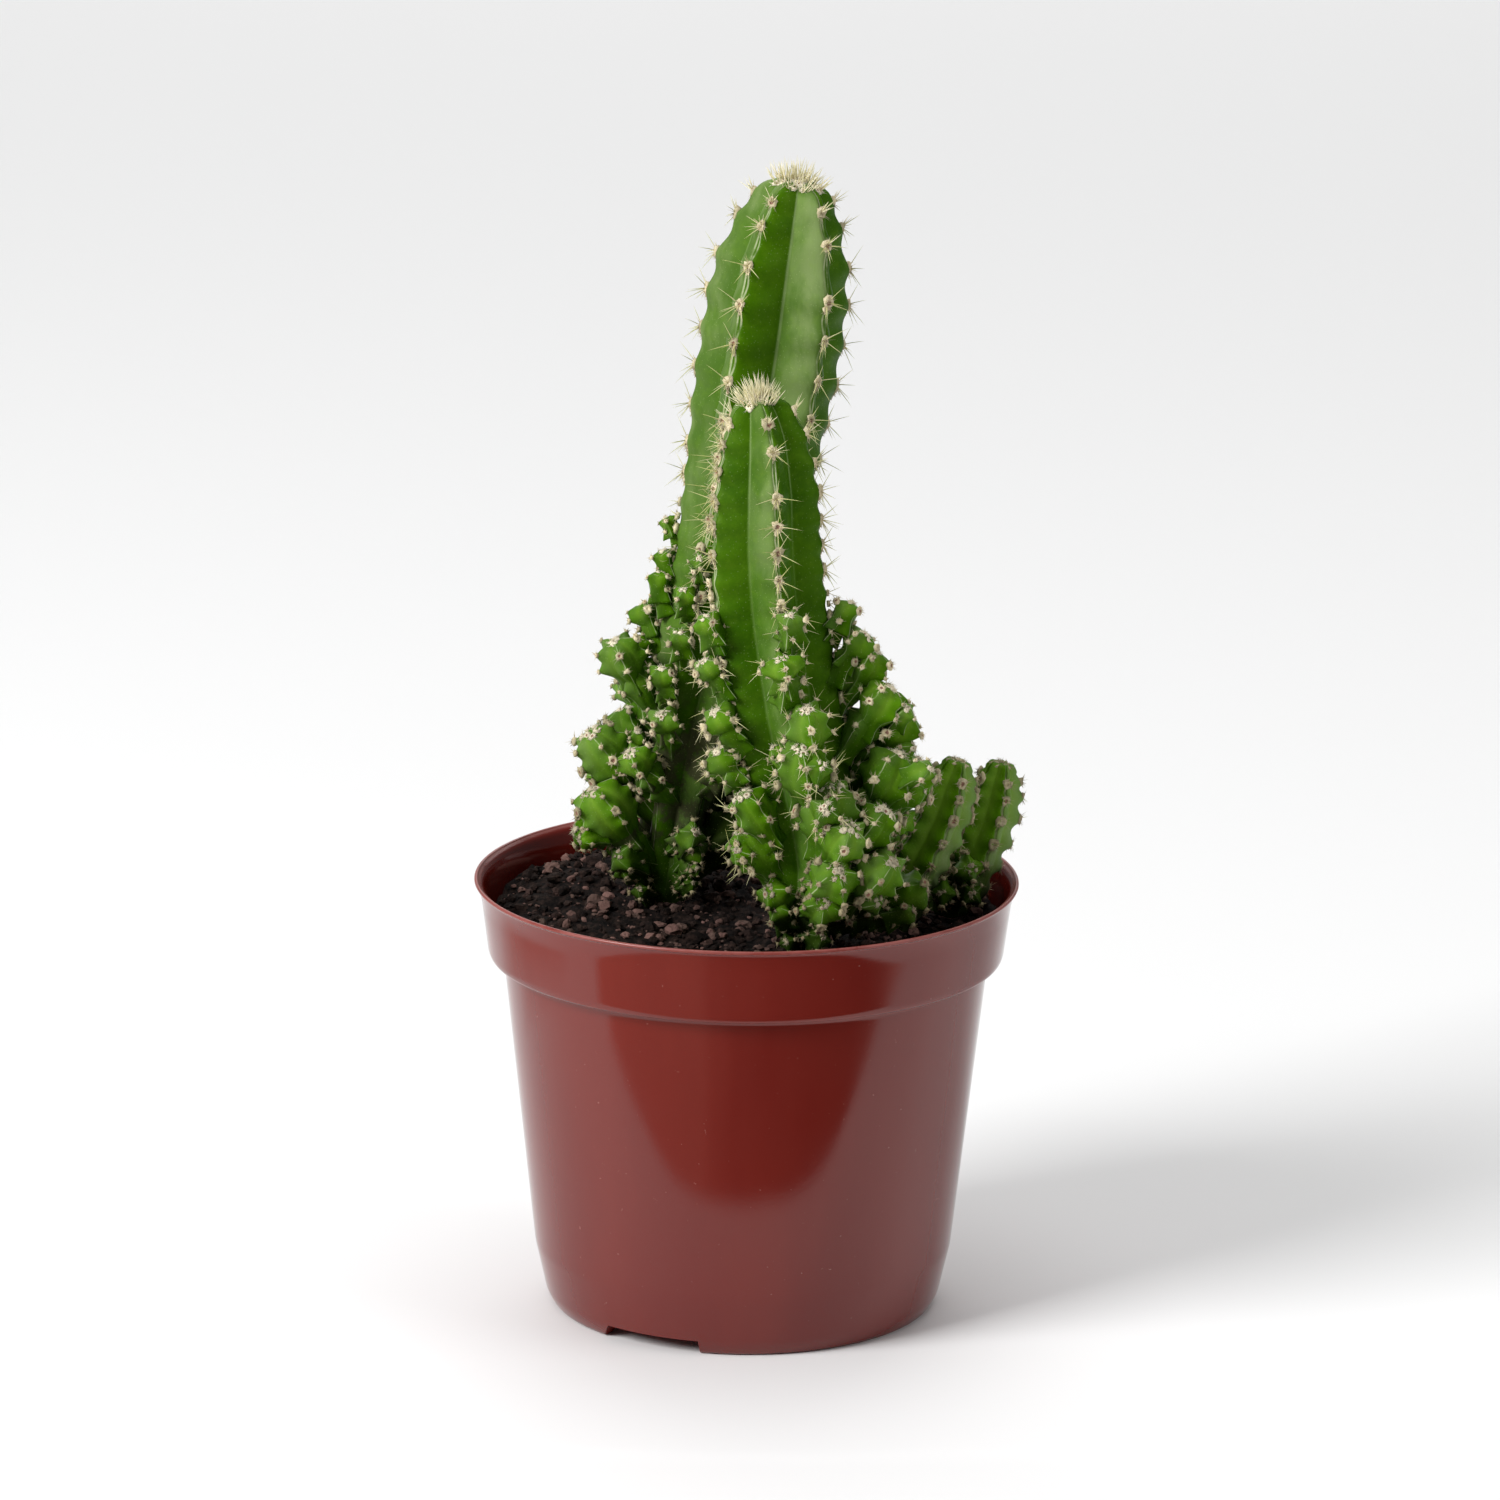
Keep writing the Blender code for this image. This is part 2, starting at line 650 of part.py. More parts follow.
def build_pot():
    """The pot: collar, tapering body, rounded heel and a floor raised on a foot ring."""
    finish = material("pot_plastic", (0.22, 0.045, 0.035), 0.32)
    floor_top = FLOOR_UNDERSIDE + WALL
    outside = [
        (FOOT_RADIUS, 0),
        *[(FOOT_RADIUS + out, up) for out, up in HEEL_CURVE],
        (BODY_FOOT_RADIUS, BODY_FOOT_HEIGHT),
        (BODY_TOP_RADIUS, SHOULDER_HEIGHT - SHOULDER_ROUND),
        (BODY_TOP_RADIUS + SHOULDER_ROUND, SHOULDER_HEIGHT),
        (COLLAR_FOOT_RADIUS - SHOULDER_ROUND, SHOULDER_HEIGHT + 0.5 * SHOULDER_ROUND),
        (COLLAR_FOOT_RADIUS, COLLAR_FOOT_HEIGHT),
        (COLLAR_TOP_RADIUS, POT_HEIGHT - LIP_FLARE),
        (LIP_RADIUS - LIP_ROLL, POT_HEIGHT - 2 * LIP_ROLL),
        (LIP_RADIUS, POT_HEIGHT - LIP_ROLL),
        (LIP_RADIUS - LIP_ROLL, POT_HEIGHT),
    ]
    inside = [
        (LIP_RADIUS - WALL, POT_HEIGHT - 0.5 * LIP_ROLL),
        (COLLAR_TOP_RADIUS - WALL, POT_HEIGHT - LIP_FLARE),
        (COLLAR_FOOT_RADIUS - WALL, COLLAR_FOOT_HEIGHT + 0.5 * WALL),
        (BODY_TOP_RADIUS - WALL, SHOULDER_HEIGHT - WALL),
        (BODY_FOOT_RADIUS - WALL, BODY_FOOT_HEIGHT),
        (FOOT_RADIUS, floor_top),
    ]
    underside = [(0, FLOOR_UNDERSIDE), (FOOT_RADIUS - FOOT_RING_WIDTH, FLOOR_UNDERSIDE)]
    foot = [(FOOT_RADIUS - FOOT_RING_WIDTH, 0)]
    pot = turned("pot", [*underside, *foot, *outside, *inside, (0, floor_top)], finish)
    for bearing in NOTCH_BEARINGS:
        cut(pot, notch_cutter(bearing))
    for k in range(DRAIN_COUNT):
        centre = flat(360 * k / DRAIN_COUNT) * DRAIN_RING_RADIUS
        top = floor_top + CUT_MARGIN
        cut(pot, round_cutter("drain_cutter", centre, DRAIN_RADIUS, CUT_MARGIN, top, DRAIN_SIDES))
    pot.data.shade_smooth()
    pot.data.set_sharp_from_angle(angle=math.radians(35))
    return pot


def soil_top(x, y):
    """Height of the soil: lumpy, and a little higher round the tall stem."""
    spot = Vector((x, y, 0))
    lumps = sum(noise.noise(spot * scale) for scale in SOIL_LUMP_SCALES)
    away = (x - MOUND_CENTRE[0]) ** 2 + (y - MOUND_CENTRE[1]) ** 2
    mound = MOUND_HEIGHT * math.exp(-away / MOUND_SPREAD**2)
    return SOIL_LEVEL + mound + SOIL_ROUGHNESS * max(-1.0, min(1.0, lumps))


def build_soil(stems):
    """Soil that fills the pot to just below its lip, with a plain hole for each stem."""
    finish = material("soil", (0.030, 0.018, 0.013), 0.95)
    wall_gap = WALL + GAP
    sides = [
        (FOOT_RADIUS - GAP, FLOOR_UNDERSIDE + wall_gap),
        (BODY_FOOT_RADIUS - wall_gap, BODY_FOOT_HEIGHT),
        (BODY_TOP_RADIUS - wall_gap, SHOULDER_HEIGHT - WALL),
        (COLLAR_FOOT_RADIUS - wall_gap, COLLAR_FOOT_HEIGHT + WALL),
    ]
    edge_radius = COLLAR_FOOT_RADIUS - WALL
    directions = [flat(90 + 360 * step / SOIL_SIDES) for step in range(SOIL_SIDES)]
    rings = [[d * r + Vector((0, 0, z)) for d in directions] for r, z in sides]
    for radius in (edge_radius, *SOIL_RINGS):
        spots = [d * radius for d in directions]
        rings.append([Vector((p.x, p.y, soil_top(p.x, p.y))) for p in spots])
    soil = add_object("soil", skin_over(rings, Vector((0, 0, soil_top(0, 0)))), finish)
    for stem in stems:
        centre = stem.line.frame(stem.foot)[0]
        radius = (between(stem.girth, FOOT_TOP) + GAP) / math.cos(math.pi / HOLE_SIDES)
        bottom = stem.foot - GAP
        cut(soil, round_cutter("hole_cutter", centre, radius, bottom, POT_HEIGHT, HOLE_SIDES))
    return soil


def main():
    clear_scene()
    draw = random.Random(SEED)
    green = material("cactus_green", (0.060, 0.160, 0.025), 0.45)
    tall = Stem(TALL_PATH, TALL_GIRTH, TALL_FIRST_RIB, TALL_AREOLE_STEP)
    front = Stem(FRONT_PATH, FRONT_GIRTH, FRONT_FIRST_RIB, FRONT_AREOLE_STEP)
    inner = Stem(INNER_PATH, INNER_GIRTH, SIDE_FIRST_RIB, SIDE_AREOLE_STEP)
    outer = Stem(OUTER_PATH, OUTER_GIRTH, SIDE_FIRST_RIB, SIDE_AREOLE_STEP)
    build_pot()
    build_soil((tall, front, inner, outer))
    build_stem("stem_tall", tall, TALL_COLUMNS, TALL_SHOOTS, green, True, draw)
    build_stem("stem_front", front, FRONT_COLUMNS, FRONT_SHOOTS, green, True, draw)
    build_stem("side_stem_inner", inner, [], INNER_SHOOTS, green, False, draw)
    build_stem("side_stem_outer", outer, [], OUTER_SHOOTS, green, False, draw)


main()
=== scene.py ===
"""Looks for the potted triangle cactus: fine stems, wool, spines, crumbly soil and a moulded pot.

Metres, +Z up, in the frame of the CAD part. A bearing is an angle in degrees round a stem: 0 is the front
(-Y), 90 is the right (+X). The stems and offsets repeat the part's rule, with its seed, at a finer scale.
"""

import math
import random

import bmesh
import bpy
import numpy as np
from mathutils import Matrix, Vector, noise

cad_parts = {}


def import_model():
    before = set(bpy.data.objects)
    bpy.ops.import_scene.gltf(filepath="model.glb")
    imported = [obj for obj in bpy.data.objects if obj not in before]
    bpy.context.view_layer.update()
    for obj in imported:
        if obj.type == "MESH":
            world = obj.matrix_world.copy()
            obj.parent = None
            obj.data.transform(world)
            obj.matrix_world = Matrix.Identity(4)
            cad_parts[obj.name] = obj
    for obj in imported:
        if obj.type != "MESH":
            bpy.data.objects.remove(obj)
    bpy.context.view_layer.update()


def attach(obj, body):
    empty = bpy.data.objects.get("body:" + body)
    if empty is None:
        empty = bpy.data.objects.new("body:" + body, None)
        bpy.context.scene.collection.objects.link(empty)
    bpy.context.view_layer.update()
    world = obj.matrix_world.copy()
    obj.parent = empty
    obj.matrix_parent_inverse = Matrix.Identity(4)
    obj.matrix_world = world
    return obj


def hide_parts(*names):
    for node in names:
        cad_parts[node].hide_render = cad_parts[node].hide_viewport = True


# The pot: the part's sizes, with the lip, the foot of the collar and the notches drawn finer here
POT_HEIGHT = 0.0871
LIP_RADIUS = 0.0540
COLLAR_FOOT_RADIUS = 0.0512
BODY_TOP_RADIUS = 0.0481
BODY_FOOT_RADIUS = 0.0416
BODY_FOOT_HEIGHT = 0.0123
FOOT_RADIUS = 0.0380
HEEL_CURVE = ((0.0014, 0.0026), (0.0026, 0.0080))
WALL = 0.0012
FLOOR_UNDERSIDE = 0.0038
FOOT_RING_WIDTH = 0.0020
POT_SIDES = 256
# The lip: its bead's radius, and the flare under it as (outward, downward) steps
LIP_BEAD = 0.0004
BEAD_STEPS = 8
FLARE = ((-0.0006, 0.0010), (-0.0011, 0.0026), (-0.0015, 0.0044))
# The collar's underside, the body's curve into it, the collar's foot as (inward, up) steps, and the
# inside's step (up, down)
UNDERSIDE = 0.0716
BODY_EASE = 0.0008
COLLAR_EASE = ((0.0004, 0.0001), (0.0, 0.0011))
INNER_STEP = (0.0016, 0.0002)
CORNER_RADIUS = 0.0009
# A run of the profile longer than LONG_RUN gets a point this near each of its ends
LONG_RUN = 0.0040
GUARD = 0.0004
SHARP_ANGLE = 40
# How far below the lip's top its paler band, wear and a painted highlight, starts and is full
WORN_HIGHLIT_BELOW_LIP = (0.0009, 0.0003)

# Notches in the foot ring: (first, last) bearing at the foot and at the top
NOTCH_LOW = (-48.2, -12.2)
NOTCH_HIGH = (-42.0, -12.6)
NOTCH_HEIGHT = 0.0030
NOTCH_STEPS = 10
CUT_MARGIN = 0.0015
DRAIN_RADIUS = 0.0035
DRAIN_RING_RADIUS = 0.0250
DRAIN_COUNT = 5
HOLE_SIDES = 32

# The soil, as in the part but with a higher mound behind the tall stem
GAP = 0.0004
SOIL_LEVEL = 0.0797
SOIL_ROUGHNESS = 0.0011
SOIL_LUMP_SCALES = (150, 330)
MOUND_HEIGHT = 0.0036
MOUND_CENTRE = (-0.027, 0.015)
MOUND_SPREAD = 0.021
SOIL_SIDES = 120
SOIL_RINGS = 48
SOIL_EDGE_RISE = 0.0024
FINE_LUMPS = ((0.0005, 700), (0.0003, 1500))

# The crumbs on the soil: (smallest and largest, count, how finely each ball is divided)
CRUMBS = (
    ((0.0016, 0.0031), 120, 2),
    ((0.0009, 0.0019), 900, 2),
    ((0.0004, 0.0009), 1500, 1),
)
CRUMB_SCALE = 1.15
# How far a crumb's middle and its side stay from the wall
CRUMB_CLEAR = 0.0008
CRUMB_WALL_GAP = 0.0003
PALE_CRUMBS = 0.30

# Stems: the ribbed section, and the round foot that stands in the soil
RIBS = 5
VALLEY_SHARE = 0.60
FOOT_TOP = 0.0822
FOOT_BLEND = 0.0140
FOOT_CLEAR = 0.0022
CROWN_AREOLE_SHARE = 0.45
CROWN_AREOLE_GROWTH = 0.20

# The tall stem at the back, near its top a little fuller and further to the right than in the part
TALL_PATH = [
    (-0.0166, 0.0060, 0.0690),
    (-0.0166, 0.0060, 0.0822),
    (-0.0157, 0.0060, 0.0887),
    (-0.0140, 0.0070, 0.1008),
    (-0.0120, 0.0080, 0.1129),
    (-0.0086, 0.0090, 0.1291),
    (-0.0049, 0.0090, 0.1413),
    (-0.0005, 0.0090, 0.1635),
    (0.0018, 0.0090, 0.1786),
    (0.0040, 0.0090, 0.1929),
    (0.0060, 0.0090, 0.2089),
    (0.0084, 0.0090, 0.2258),
]
TALL_GIRTH = [
    (0.0822, 0.0050),
    (0.0880, 0.0062),
    (0.1010, 0.0078),
    (0.1130, 0.0094),
    (0.1410, 0.0120),
    (0.1635, 0.0139),
    (0.1860, 0.0154),
    (0.2000, 0.0155),
    (0.2090, 0.0145),
    (0.2170, 0.0117),
    (0.2220, 0.0088),
    (0.2242, 0.0074),
    (0.2258, 0.0034),
]
TALL_FIRST_RIB = -104.0
TALL_AREOLE_STEP = 0.0078
TALL_SLIPS = (0.0008, 0.0015, -0.0036, 0.0006, 0.0)

# The shorter stem in front of it
FRONT_PATH = [
    (0.0116, -0.0250, 0.0690),
    (0.0116, -0.0250, 0.0822),
    (0.0120, -0.0250, 0.0935),
    (0.0113, -0.0240, 0.1034),
    (0.0088, -0.0230, 0.1172),
    (0.0063, -0.0230, 0.1292),
    (0.0038, -0.0220, 0.1450),
    (0.0026, -0.0220, 0.1589),
    (0.0024, -0.0220, 0.1708),
    (0.0020, -0.0220, 0.1813),
    (0.0010, -0.0220, 0.1890),
]
FRONT_GIRTH = [
    (0.0822, 0.0048),
    (0.0900, 0.0066),
    (0.1000, 0.0092),
    (0.1120, 0.0114),
    (0.1300, 0.0124),
    (0.1590, 0.0122),
    (0.1710, 0.0117),
    (0.1813, 0.0096),
    (0.1860, 0.0072),
    (0.1880, 0.0056),
    (0.1890, 0.0026),
]
FRONT_FIRST_RIB = -58.0
FRONT_AREOLE_STEP = 0.0065
FRONT_SLIPS = (0.0012, -0.0029, 0.0016, 0.0, 0.0)

# The two leaning side stems by the right wall of the pot, the inner one a little more bent than in the part
INNER_PATH = [
    (0.0290, -0.0080, 0.0690),
    (0.0292, -0.0080, 0.0810),
    (0.0304, -0.0080, 0.0845),
    (0.0328, -0.0080, 0.0911),
    (0.0381, -0.0082, 0.1024),
    (0.0414, -0.0084, 0.1136),
]
INNER_GIRTH = [
    (0.0822, 0.0046),
    (0.0860, 0.0060),
    (0.0930, 0.0068),
    (0.1050, 0.0068),
    (0.1100, 0.0058),
    (0.1136, 0.0026),
]
OUTER_PATH = [
    (0.0405, 0.0040, 0.0740),
    (0.0407, 0.0040, 0.0815),
    (0.0430, 0.0040, 0.0860),
    (0.0460, 0.0040, 0.0930),
    (0.0484, 0.0040, 0.1000),
    (0.0503, 0.0040, 0.1100),
]
OUTER_GIRTH = [
    (0.0822, 0.0046),
    (0.0860, 0.0060),
    (0.0930, 0.0066),
    (0.1020, 0.0066),
    (0.1065, 0.0056),
    (0.1100, 0.0026),
]
SIDE_FIRST_RIB = 20.0
SIDE_AREOLE_STEP = 0.0046

# Columns of offsets on the ribs: (rib, highest, lowest, count, radii, lengths, lift in degrees)
TALL_COLUMNS = [
    (0, 0.1525, 0.1120, 7, (0.0017, 0.0046), (0.0040, 0.0115), 58),
    (1, 0.1500, 0.1170, 5, (0.0020, 0.0034), (0.0045, 0.0072), 55),
    (2, 0.1420, 0.0920, 4, (0.0022, 0.0032), (0.0045, 0.0070), 62),
    (3, 0.1480, 0.0960, 6, (0.0022, 0.0054), (0.0050, 0.0150), 55),
    (4, 0.1420, 0.0970, 6, (0.0022, 0.0056), (0.0050, 0.0150), 58),
]
FRONT_COLUMNS = [
    (0, 0.1465, 0.1010, 6, (0.0028, 0.0046), (0.0060, 0.0100), 62),
    (1, 0.1455, 0.1090, 5, (0.0029, 0.0060), (0.0062, 0.0115), 64),
    (2, 0.1440, 0.1100, 6, (0.0030, 0.0056), (0.0065, 0.0190), 46),
    (3, 0.1400, 0.0990, 5, (0.0026, 0.0048), (0.0055, 0.0120), 58),
    (4, 0.1380, 0.1030, 4, (0.0022, 0.0030), (0.0048, 0.0060), 62),
]
COLUMN_ZIGZAG = 7.0
COLUMN_DRIFT = 3.0
HEIGHT_DRIFT = 0.0006
LIFT_DRIFT = 5.0

# Longer offsets that leave the foot of a stem: (root, tip, radius)
FRONT_SHOOTS = [
    ((0.0130, -0.0280, 0.0880), (0.0195, -0.0410, 0.1095), 0.0044),
    ((0.0150, -0.0260, 0.0960), (0.0350, -0.0190, 0.1155), 0.0060),
    ((0.0140, -0.0275, 0.0880), (0.0262, -0.0350, 0.1110), 0.0044),
    ((0.0140, -0.0270, 0.0870), (0.0300, -0.0370, 0.1010), 0.0050),
    ((0.0130, -0.0275, 0.0870), (0.0190, -0.0425, 0.1005), 0.0048),
    ((0.0130, -0.0270, 0.0865), (0.0150, -0.0425, 0.0935), 0.0040),
    ((0.0140, -0.0260, 0.0870), (0.0352, -0.0255, 0.0925), 0.0042),
    ((0.0110, -0.0260, 0.0870), (0.0038, -0.0320, 0.0935), 0.0036),
    ((0.0120, -0.0235, 0.0880), (0.0180, -0.0110, 0.0990), 0.0042),
]
TALL_SHOOTS = [
    ((-0.0190, 0.0030, 0.0885), (-0.0312, -0.0030, 0.1050), 0.0057),
    ((-0.0180, 0.0050, 0.0985), (-0.0318, 0.0010, 0.1160), 0.0052),
    ((-0.0160, 0.0060, 0.1150), (-0.0272, 0.0020, 0.1345), 0.0045),
    ((-0.0150, 0.0030, 0.1020), (-0.0235, -0.0050, 0.1130), 0.0038),
    ((-0.0165, 0.0050, 0.0885), (-0.0262, -0.0050, 0.0915), 0.0031),
    ((-0.0160, 0.0080, 0.0885), (-0.0200, 0.0230, 0.1010), 0.0045),
    ((-0.0150, 0.0070, 0.0885), (-0.0040, 0.0150, 0.0975), 0.0040),
]
OUTER_SHOOTS = [
    ((0.0415, 0.0030, 0.0865), (0.0440, -0.0075, 0.0915), 0.0030),
    ((0.0410, 0.0050, 0.0865), (0.0380, 0.0170, 0.0940), 0.0036),
]
INNER_SHOOTS = [
    ((0.0310, -0.0070, 0.0865), (0.0250, 0.0020, 0.0950), 0.0038),
]

# Small buds near the soil that only this script makes
TALL_BUDS = [
    ((-0.0150, 0.0030, 0.0915), (-0.0104, -0.0060, 0.0975), 0.0029),
    ((-0.0140, 0.0030, 0.0830), (-0.0108, -0.0040, 0.0866), 0.0016),
    ((-0.0145, 0.0020, 0.0850), (-0.0098, -0.0050, 0.0900), 0.0012),
    ((-0.0195, 0.0030, 0.0850), (-0.0250, -0.0020, 0.0895), 0.0024),
    ((-0.0190, 0.0020, 0.0815), (-0.0215, -0.0030, 0.0850), 0.0018),
]
FRONT_BUDS = [
    ((0.0155, -0.0250, 0.0840), (0.0330, -0.0290, 0.0880), 0.0028),
    ((0.0095, -0.0270, 0.0840), (0.0055, -0.0335, 0.0900), 0.0026),
    ((0.0125, -0.0280, 0.0815), (0.0143, -0.0352, 0.0850), 0.0023),
    ((0.0100, -0.0280, 0.0812), (0.0078, -0.0335, 0.0836), 0.0017),
]
OUTER_BUDS = [
    ((0.0400, 0.0020, 0.0830), (0.0385, -0.0130, 0.0880), 0.0026),
    ((0.0420, 0.0000, 0.0830), (0.0450, -0.0080, 0.0865), 0.0022),
]

# Offsets, as in the part. A wide one has five ribs, and carries a child from CHILD_FROM on.
WIDE_OFFSET = 0.0042
OFFSET_SINK = 0.0010
OFFSET_SINK_SHARE = 0.7
CHILD_FROM = 0.0046
CHILD_SCALE = 0.55
CHILD_LEAST = 0.0026
CHILD_STOUTNESS = 2.1
CHILD_ALONG = 0.52
CHILD_ASIDE = 0.56
CHILD_LIFT = 1.1

# Spines, as in the part
SPINES_PER_AREOLE = 4
SPINE_LENGTH = (0.0046, 0.0062)
SPINE_SPREAD = (42, 66)
YOUNG_SPINE_SHARE = 0.6
YOUNG_SPINE_REACH = 0.040
CROWN_BURRS = 4
CROWN_RADIUS = 0.0021
CROWN_DROP = 0.0006
CROWN_LEAN = 0.35
CROWN_SPREAD = (0.25, 0.55)
CROWN_SPINE_LENGTH = (0.0036, 0.0050)

SEED = 26

# The skin of the stems
RING_STEP = 0.0006
FLANK_PLACES = (0.0, 0.05, 0.11, 0.19, 0.32, 0.50, 0.68, 0.84, 0.94, 1.0)
CREST_ROUND = 0.0007
FLANK_BULGE = 0.0007
FULL_GIRTH = 0.012
GIRTH_EASE = 0.0022
TIP_RISE = 0.0002
FLANK_RIPPLE = 0.00030
FINE_TOOTH = 0.00045
SIDE_TOOTH = 0.00075
YOUNG_TOOTH = 1.3
YOUNG_TOOTH_REACH = 0.045
SLIP_REACH = 0.014
# An areole below this height sits higher than the part's, by this share of its depth below it
CLOSER_BELOW = 0.172
CLOSER = 0.18
# How far the newest areoles of a rib sit below the part's. The third one is left out, because the
# photo's gaps are already long there.
CROWN_SETTLE = (0.0022, 0.0036, 0.0, 0.0004)
LEFT_OUT = 2
AREOLE_SIZE = 0.00100
SIDE_AREOLE_SIZE = 0.00090
AREOLE_SINK = 0.00005
SIDE_AREOLE_SINK = 0.00016
LENS_WIDTH = 0.075
FLANK_FACING = 55.6
# The side stems' painted sheen, on their flanks that face away from the key light
SIDE_STEM_SHEEN = 1.7
# The key light's side, whose facing flanks get a painted sheen, and the middle of the gap between the stems,
# painted dark as shade
SHEEN_SIDE = Vector((-1.0, 0.0, 0.0))
SHADED_GAP_PLACE = (0.0005, 0.0055, 0.0950)

# The skin of the offsets
OFFSET_RING_STEP = 0.0005
OFFSET_PLACES = (0.0, 0.15, 0.36, 0.62, 0.85, 1.0)
SMALL_PLACES = (0.0, 0.25, 0.62, 1.0)
OFFSET_BODY = [
    (-0.20, 0.56),
    (0.00, 0.72),
    (0.16, 0.88),
    (0.36, 0.97),
    (0.60, 0.97),
    (0.78, 0.84),
    (0.92, 0.58),
    (1.00, 0.24),
]
SMALL_BODY = [
    (-0.20, 0.92),
    (0.00, 0.95),
    (0.30, 0.98),
    (0.60, 0.95),
    (0.80, 0.82),
    (0.93, 0.56),
    (1.00, 0.22),
]
PLUMPNESS = 0.35
GROOVE = 0.06
LOWER_KNOB = 0.80
OFFSET_TOP = 0.97
KNOB_STOUTNESS = 1.9
SMALL_STOUTNESS = 1.35
KNOB_LEAN = 0.16
KNOB_OVERLAP = 1.12
SMALL_KNOB = 0.0030
LONG_KNOB = 0.0098
MOST_TUBERCLE = 0.0018
TUBERCLE_SPREAD = 0.00070
MINI_BUD_FROM = 0.0050
MINI_BUD_SCALE = (0.34, 0.46)

# Wool. Its rings are (reach, height, darkness) by its own size.
KNOB_WOOL = 0.00034
WOOL_SINK = 0.0001
BROAD_WOOL = 0.00062
WOOL_RING = ((0.80, -0.60, 0.0), (1.08, 0.02, 0.0), (0.92, 0.44, 0.0), (0.58, 0.52, 0.0), (0.32, 0.30, 1.0))
WOOL_DOT = ((0.80, -0.60, 0.0), (1.05, 0.05, 0.0), (0.75, 0.48, 0.1))
HAIR_RADIUS = 0.00007
RIDGE_WOOL_FROM = 0.112
RIDGE_WOOL_SINK = 0.0004
RIDGE_WOOL_SIZE = (0.0005, 0.0009)

# The fine spines
SPINE_RADIUS = 0.00012
FINE_SPINES = 4
FINE_SPINE_RADIUS = 0.00010
FINE_SPINE_LENGTH = (0.0024, 0.0048)
SHORT_SPINE_RADIUS = 0.00008
KNOB_SPINE_LENGTH = (0.0018, 0.0048)
SIDE_SPINE_LENGTH = (0.0010, 0.0020)
# The front stem's ribs whose offsets carry spines
SPINY_RIBS = (0, 1)
YOUNG_REACH = 0.018
# Sprays of straight spines: (to the sides, up the stem, outward, length, radius, pallor)
YOUNG_SPRAY = ((-0.9, 0.9), (0.4, 1.6), (0.5, 1.1), (0.0026, 0.0044), 0.00013, (0.4, 0.9))
RIDGE_SPRAY = ((-1.4, 1.4), (0.3, -0.8), (0.5, 1.0), (0.0022, 0.0044), 0.00009, (0.0, 0.5))

# The crowns
TALL_CROWN = 0.0050
FRONT_CROWN = 0.0038
CROWN_SLOPE = 0.0013
CROWN_BURR_RADIUS = 0.00013
CROWN_SPINES = 150
CROWN_FINE_LENGTH = (0.0024, 0.0062)
CROWN_FINE_RADIUS = (0.00011, 0.00018)
CROWN_TUFTS = 40
CROWN_WOOL_SIZE = (0.0005, 0.0010)
CROWN_YOUNG_SPINES = 7
SIDE_CROWN_TUFTS = 9
SIDE_CROWN_RADIUS = 0.0016
SIDE_CROWN_WOOL = 0.0007

# The camera, fitted to the ellipses of the pot's lip, collar and foot
CAMERA_PLACE = (0.0, -1.5863, 0.5287)
CAMERA_AIM = (0.0004, 0.0, 0.1131)
CAMERA_LENS = 199.21
CAMERA_ROLL = 0.0107
SENSOR_WIDTH = 36.0
CLIP_RANGE = (0.05, 60.0)

# What the pot's gloss mirrors: (bearing on the pot, distance from the pot where it starts, tone)
FRONT_MIRROR = (
    (-36.5, 0.125, 1.0),
    (-34.5, 0.118, 0.5),
    (-27.0, 0.082, 0.5),
    (-19.0, 0.058, 0.5),
    (-12.5, 0.051, 0.48),
    (-8.0, 0.049, 0.25),
    (-3.0, 0.048, 0.14),
    (6.0, 0.049, 0.05),
    (15.0, 0.053, 0.0),
    (22.0, 0.064, 0.0),
    (27.0, 0.083, 0.0),
    (31.0, 0.106, 0.12),
    (35.5, 0.140, 0.55),
    (42.0, 0.190, 1.0),
)
LEFT_MIRROR = (
    (-72.0, 0.170, 1.0),
    (-62.0, 0.170, 0.65),
    (-55.0, 0.170, 0.5),
    (-45.0, 0.170, 0.5),
    (-39.5, 0.170, 1.0),
)
MIRROR_REACH = 1.25
CARD_HEIGHT = 0.0006
FLOOR_SHADE = (0.86, 0.86, 0.86)
DIM_SHADE = (0.62, 0.30, 0.25)
DARK_SHADE = (0.01, 0.01, 0.01)
FLOOR_CORNERS = ((-12, -12, 0), (12, -12, 0), (12, 12, 0), (-12, 12, 0))
SKY_STRENGTH = 0.12

# The lights: (name, place, what it is aimed at, size, power)
LIGHTS = (
    ("key", (-1.3, -0.9, 1.1), (0, 0, 0.12), (0.8, 0.8), 39),
    ("fill", (1.3, -0.5, 0.8), (0, 0, 0.10), (0.9, 0.9), 6),
    ("top", (0.0, 0.2, 1.7), (0, 0, 0.10), (1.4, 1.4), 12),
    ("back", (0.0, 2.6, 1.5), (0, 2.2, 0.0), (3.0, 1.5), 34),
)

# The shading values of a point that needs none
NO_LOOK = (0.0, 0.0, 0.0, 0.0)

# Two streams of random numbers: the part's own, drawn in the part's order, and one for the fine detail
FINE_SEED = 71
draw = random.Random(SEED)
fine = random.Random(FINE_SEED)


def towards(bearing, across, behind):
    """The direction of a bearing, from a section's right-hand and backward directions."""
    angle = math.radians(bearing)
    return across * math.sin(angle) - behind * math.cos(angle)


def flat(bearing):
    """The level direction of a bearing."""
    return towards(bearing, Vector((1, 0, 0)), Vector((0, 1, 0)))


def around(axis, angle):
    """The direction square to an axis at an angle round it, in radians."""
    side = axis.orthogonal().normalized()
    return side * math.cos(angle) + axis.cross(side) * math.sin(angle)


def clamped(value):
    """A value kept between 0 and 1."""
    return min(1.0, max(0.0, value))


def between(pairs, at):
    """Reads a list of (place, value) pairs at a place, in straight runs."""
    if at <= pairs[0][0]:
        return pairs[0][1]
    for (low, first), (high, last) in zip(pairs, pairs[1:]):
        if at <= high:
            return first + (last - first) * (at - low) / (high - low)
    return pairs[-1][1]


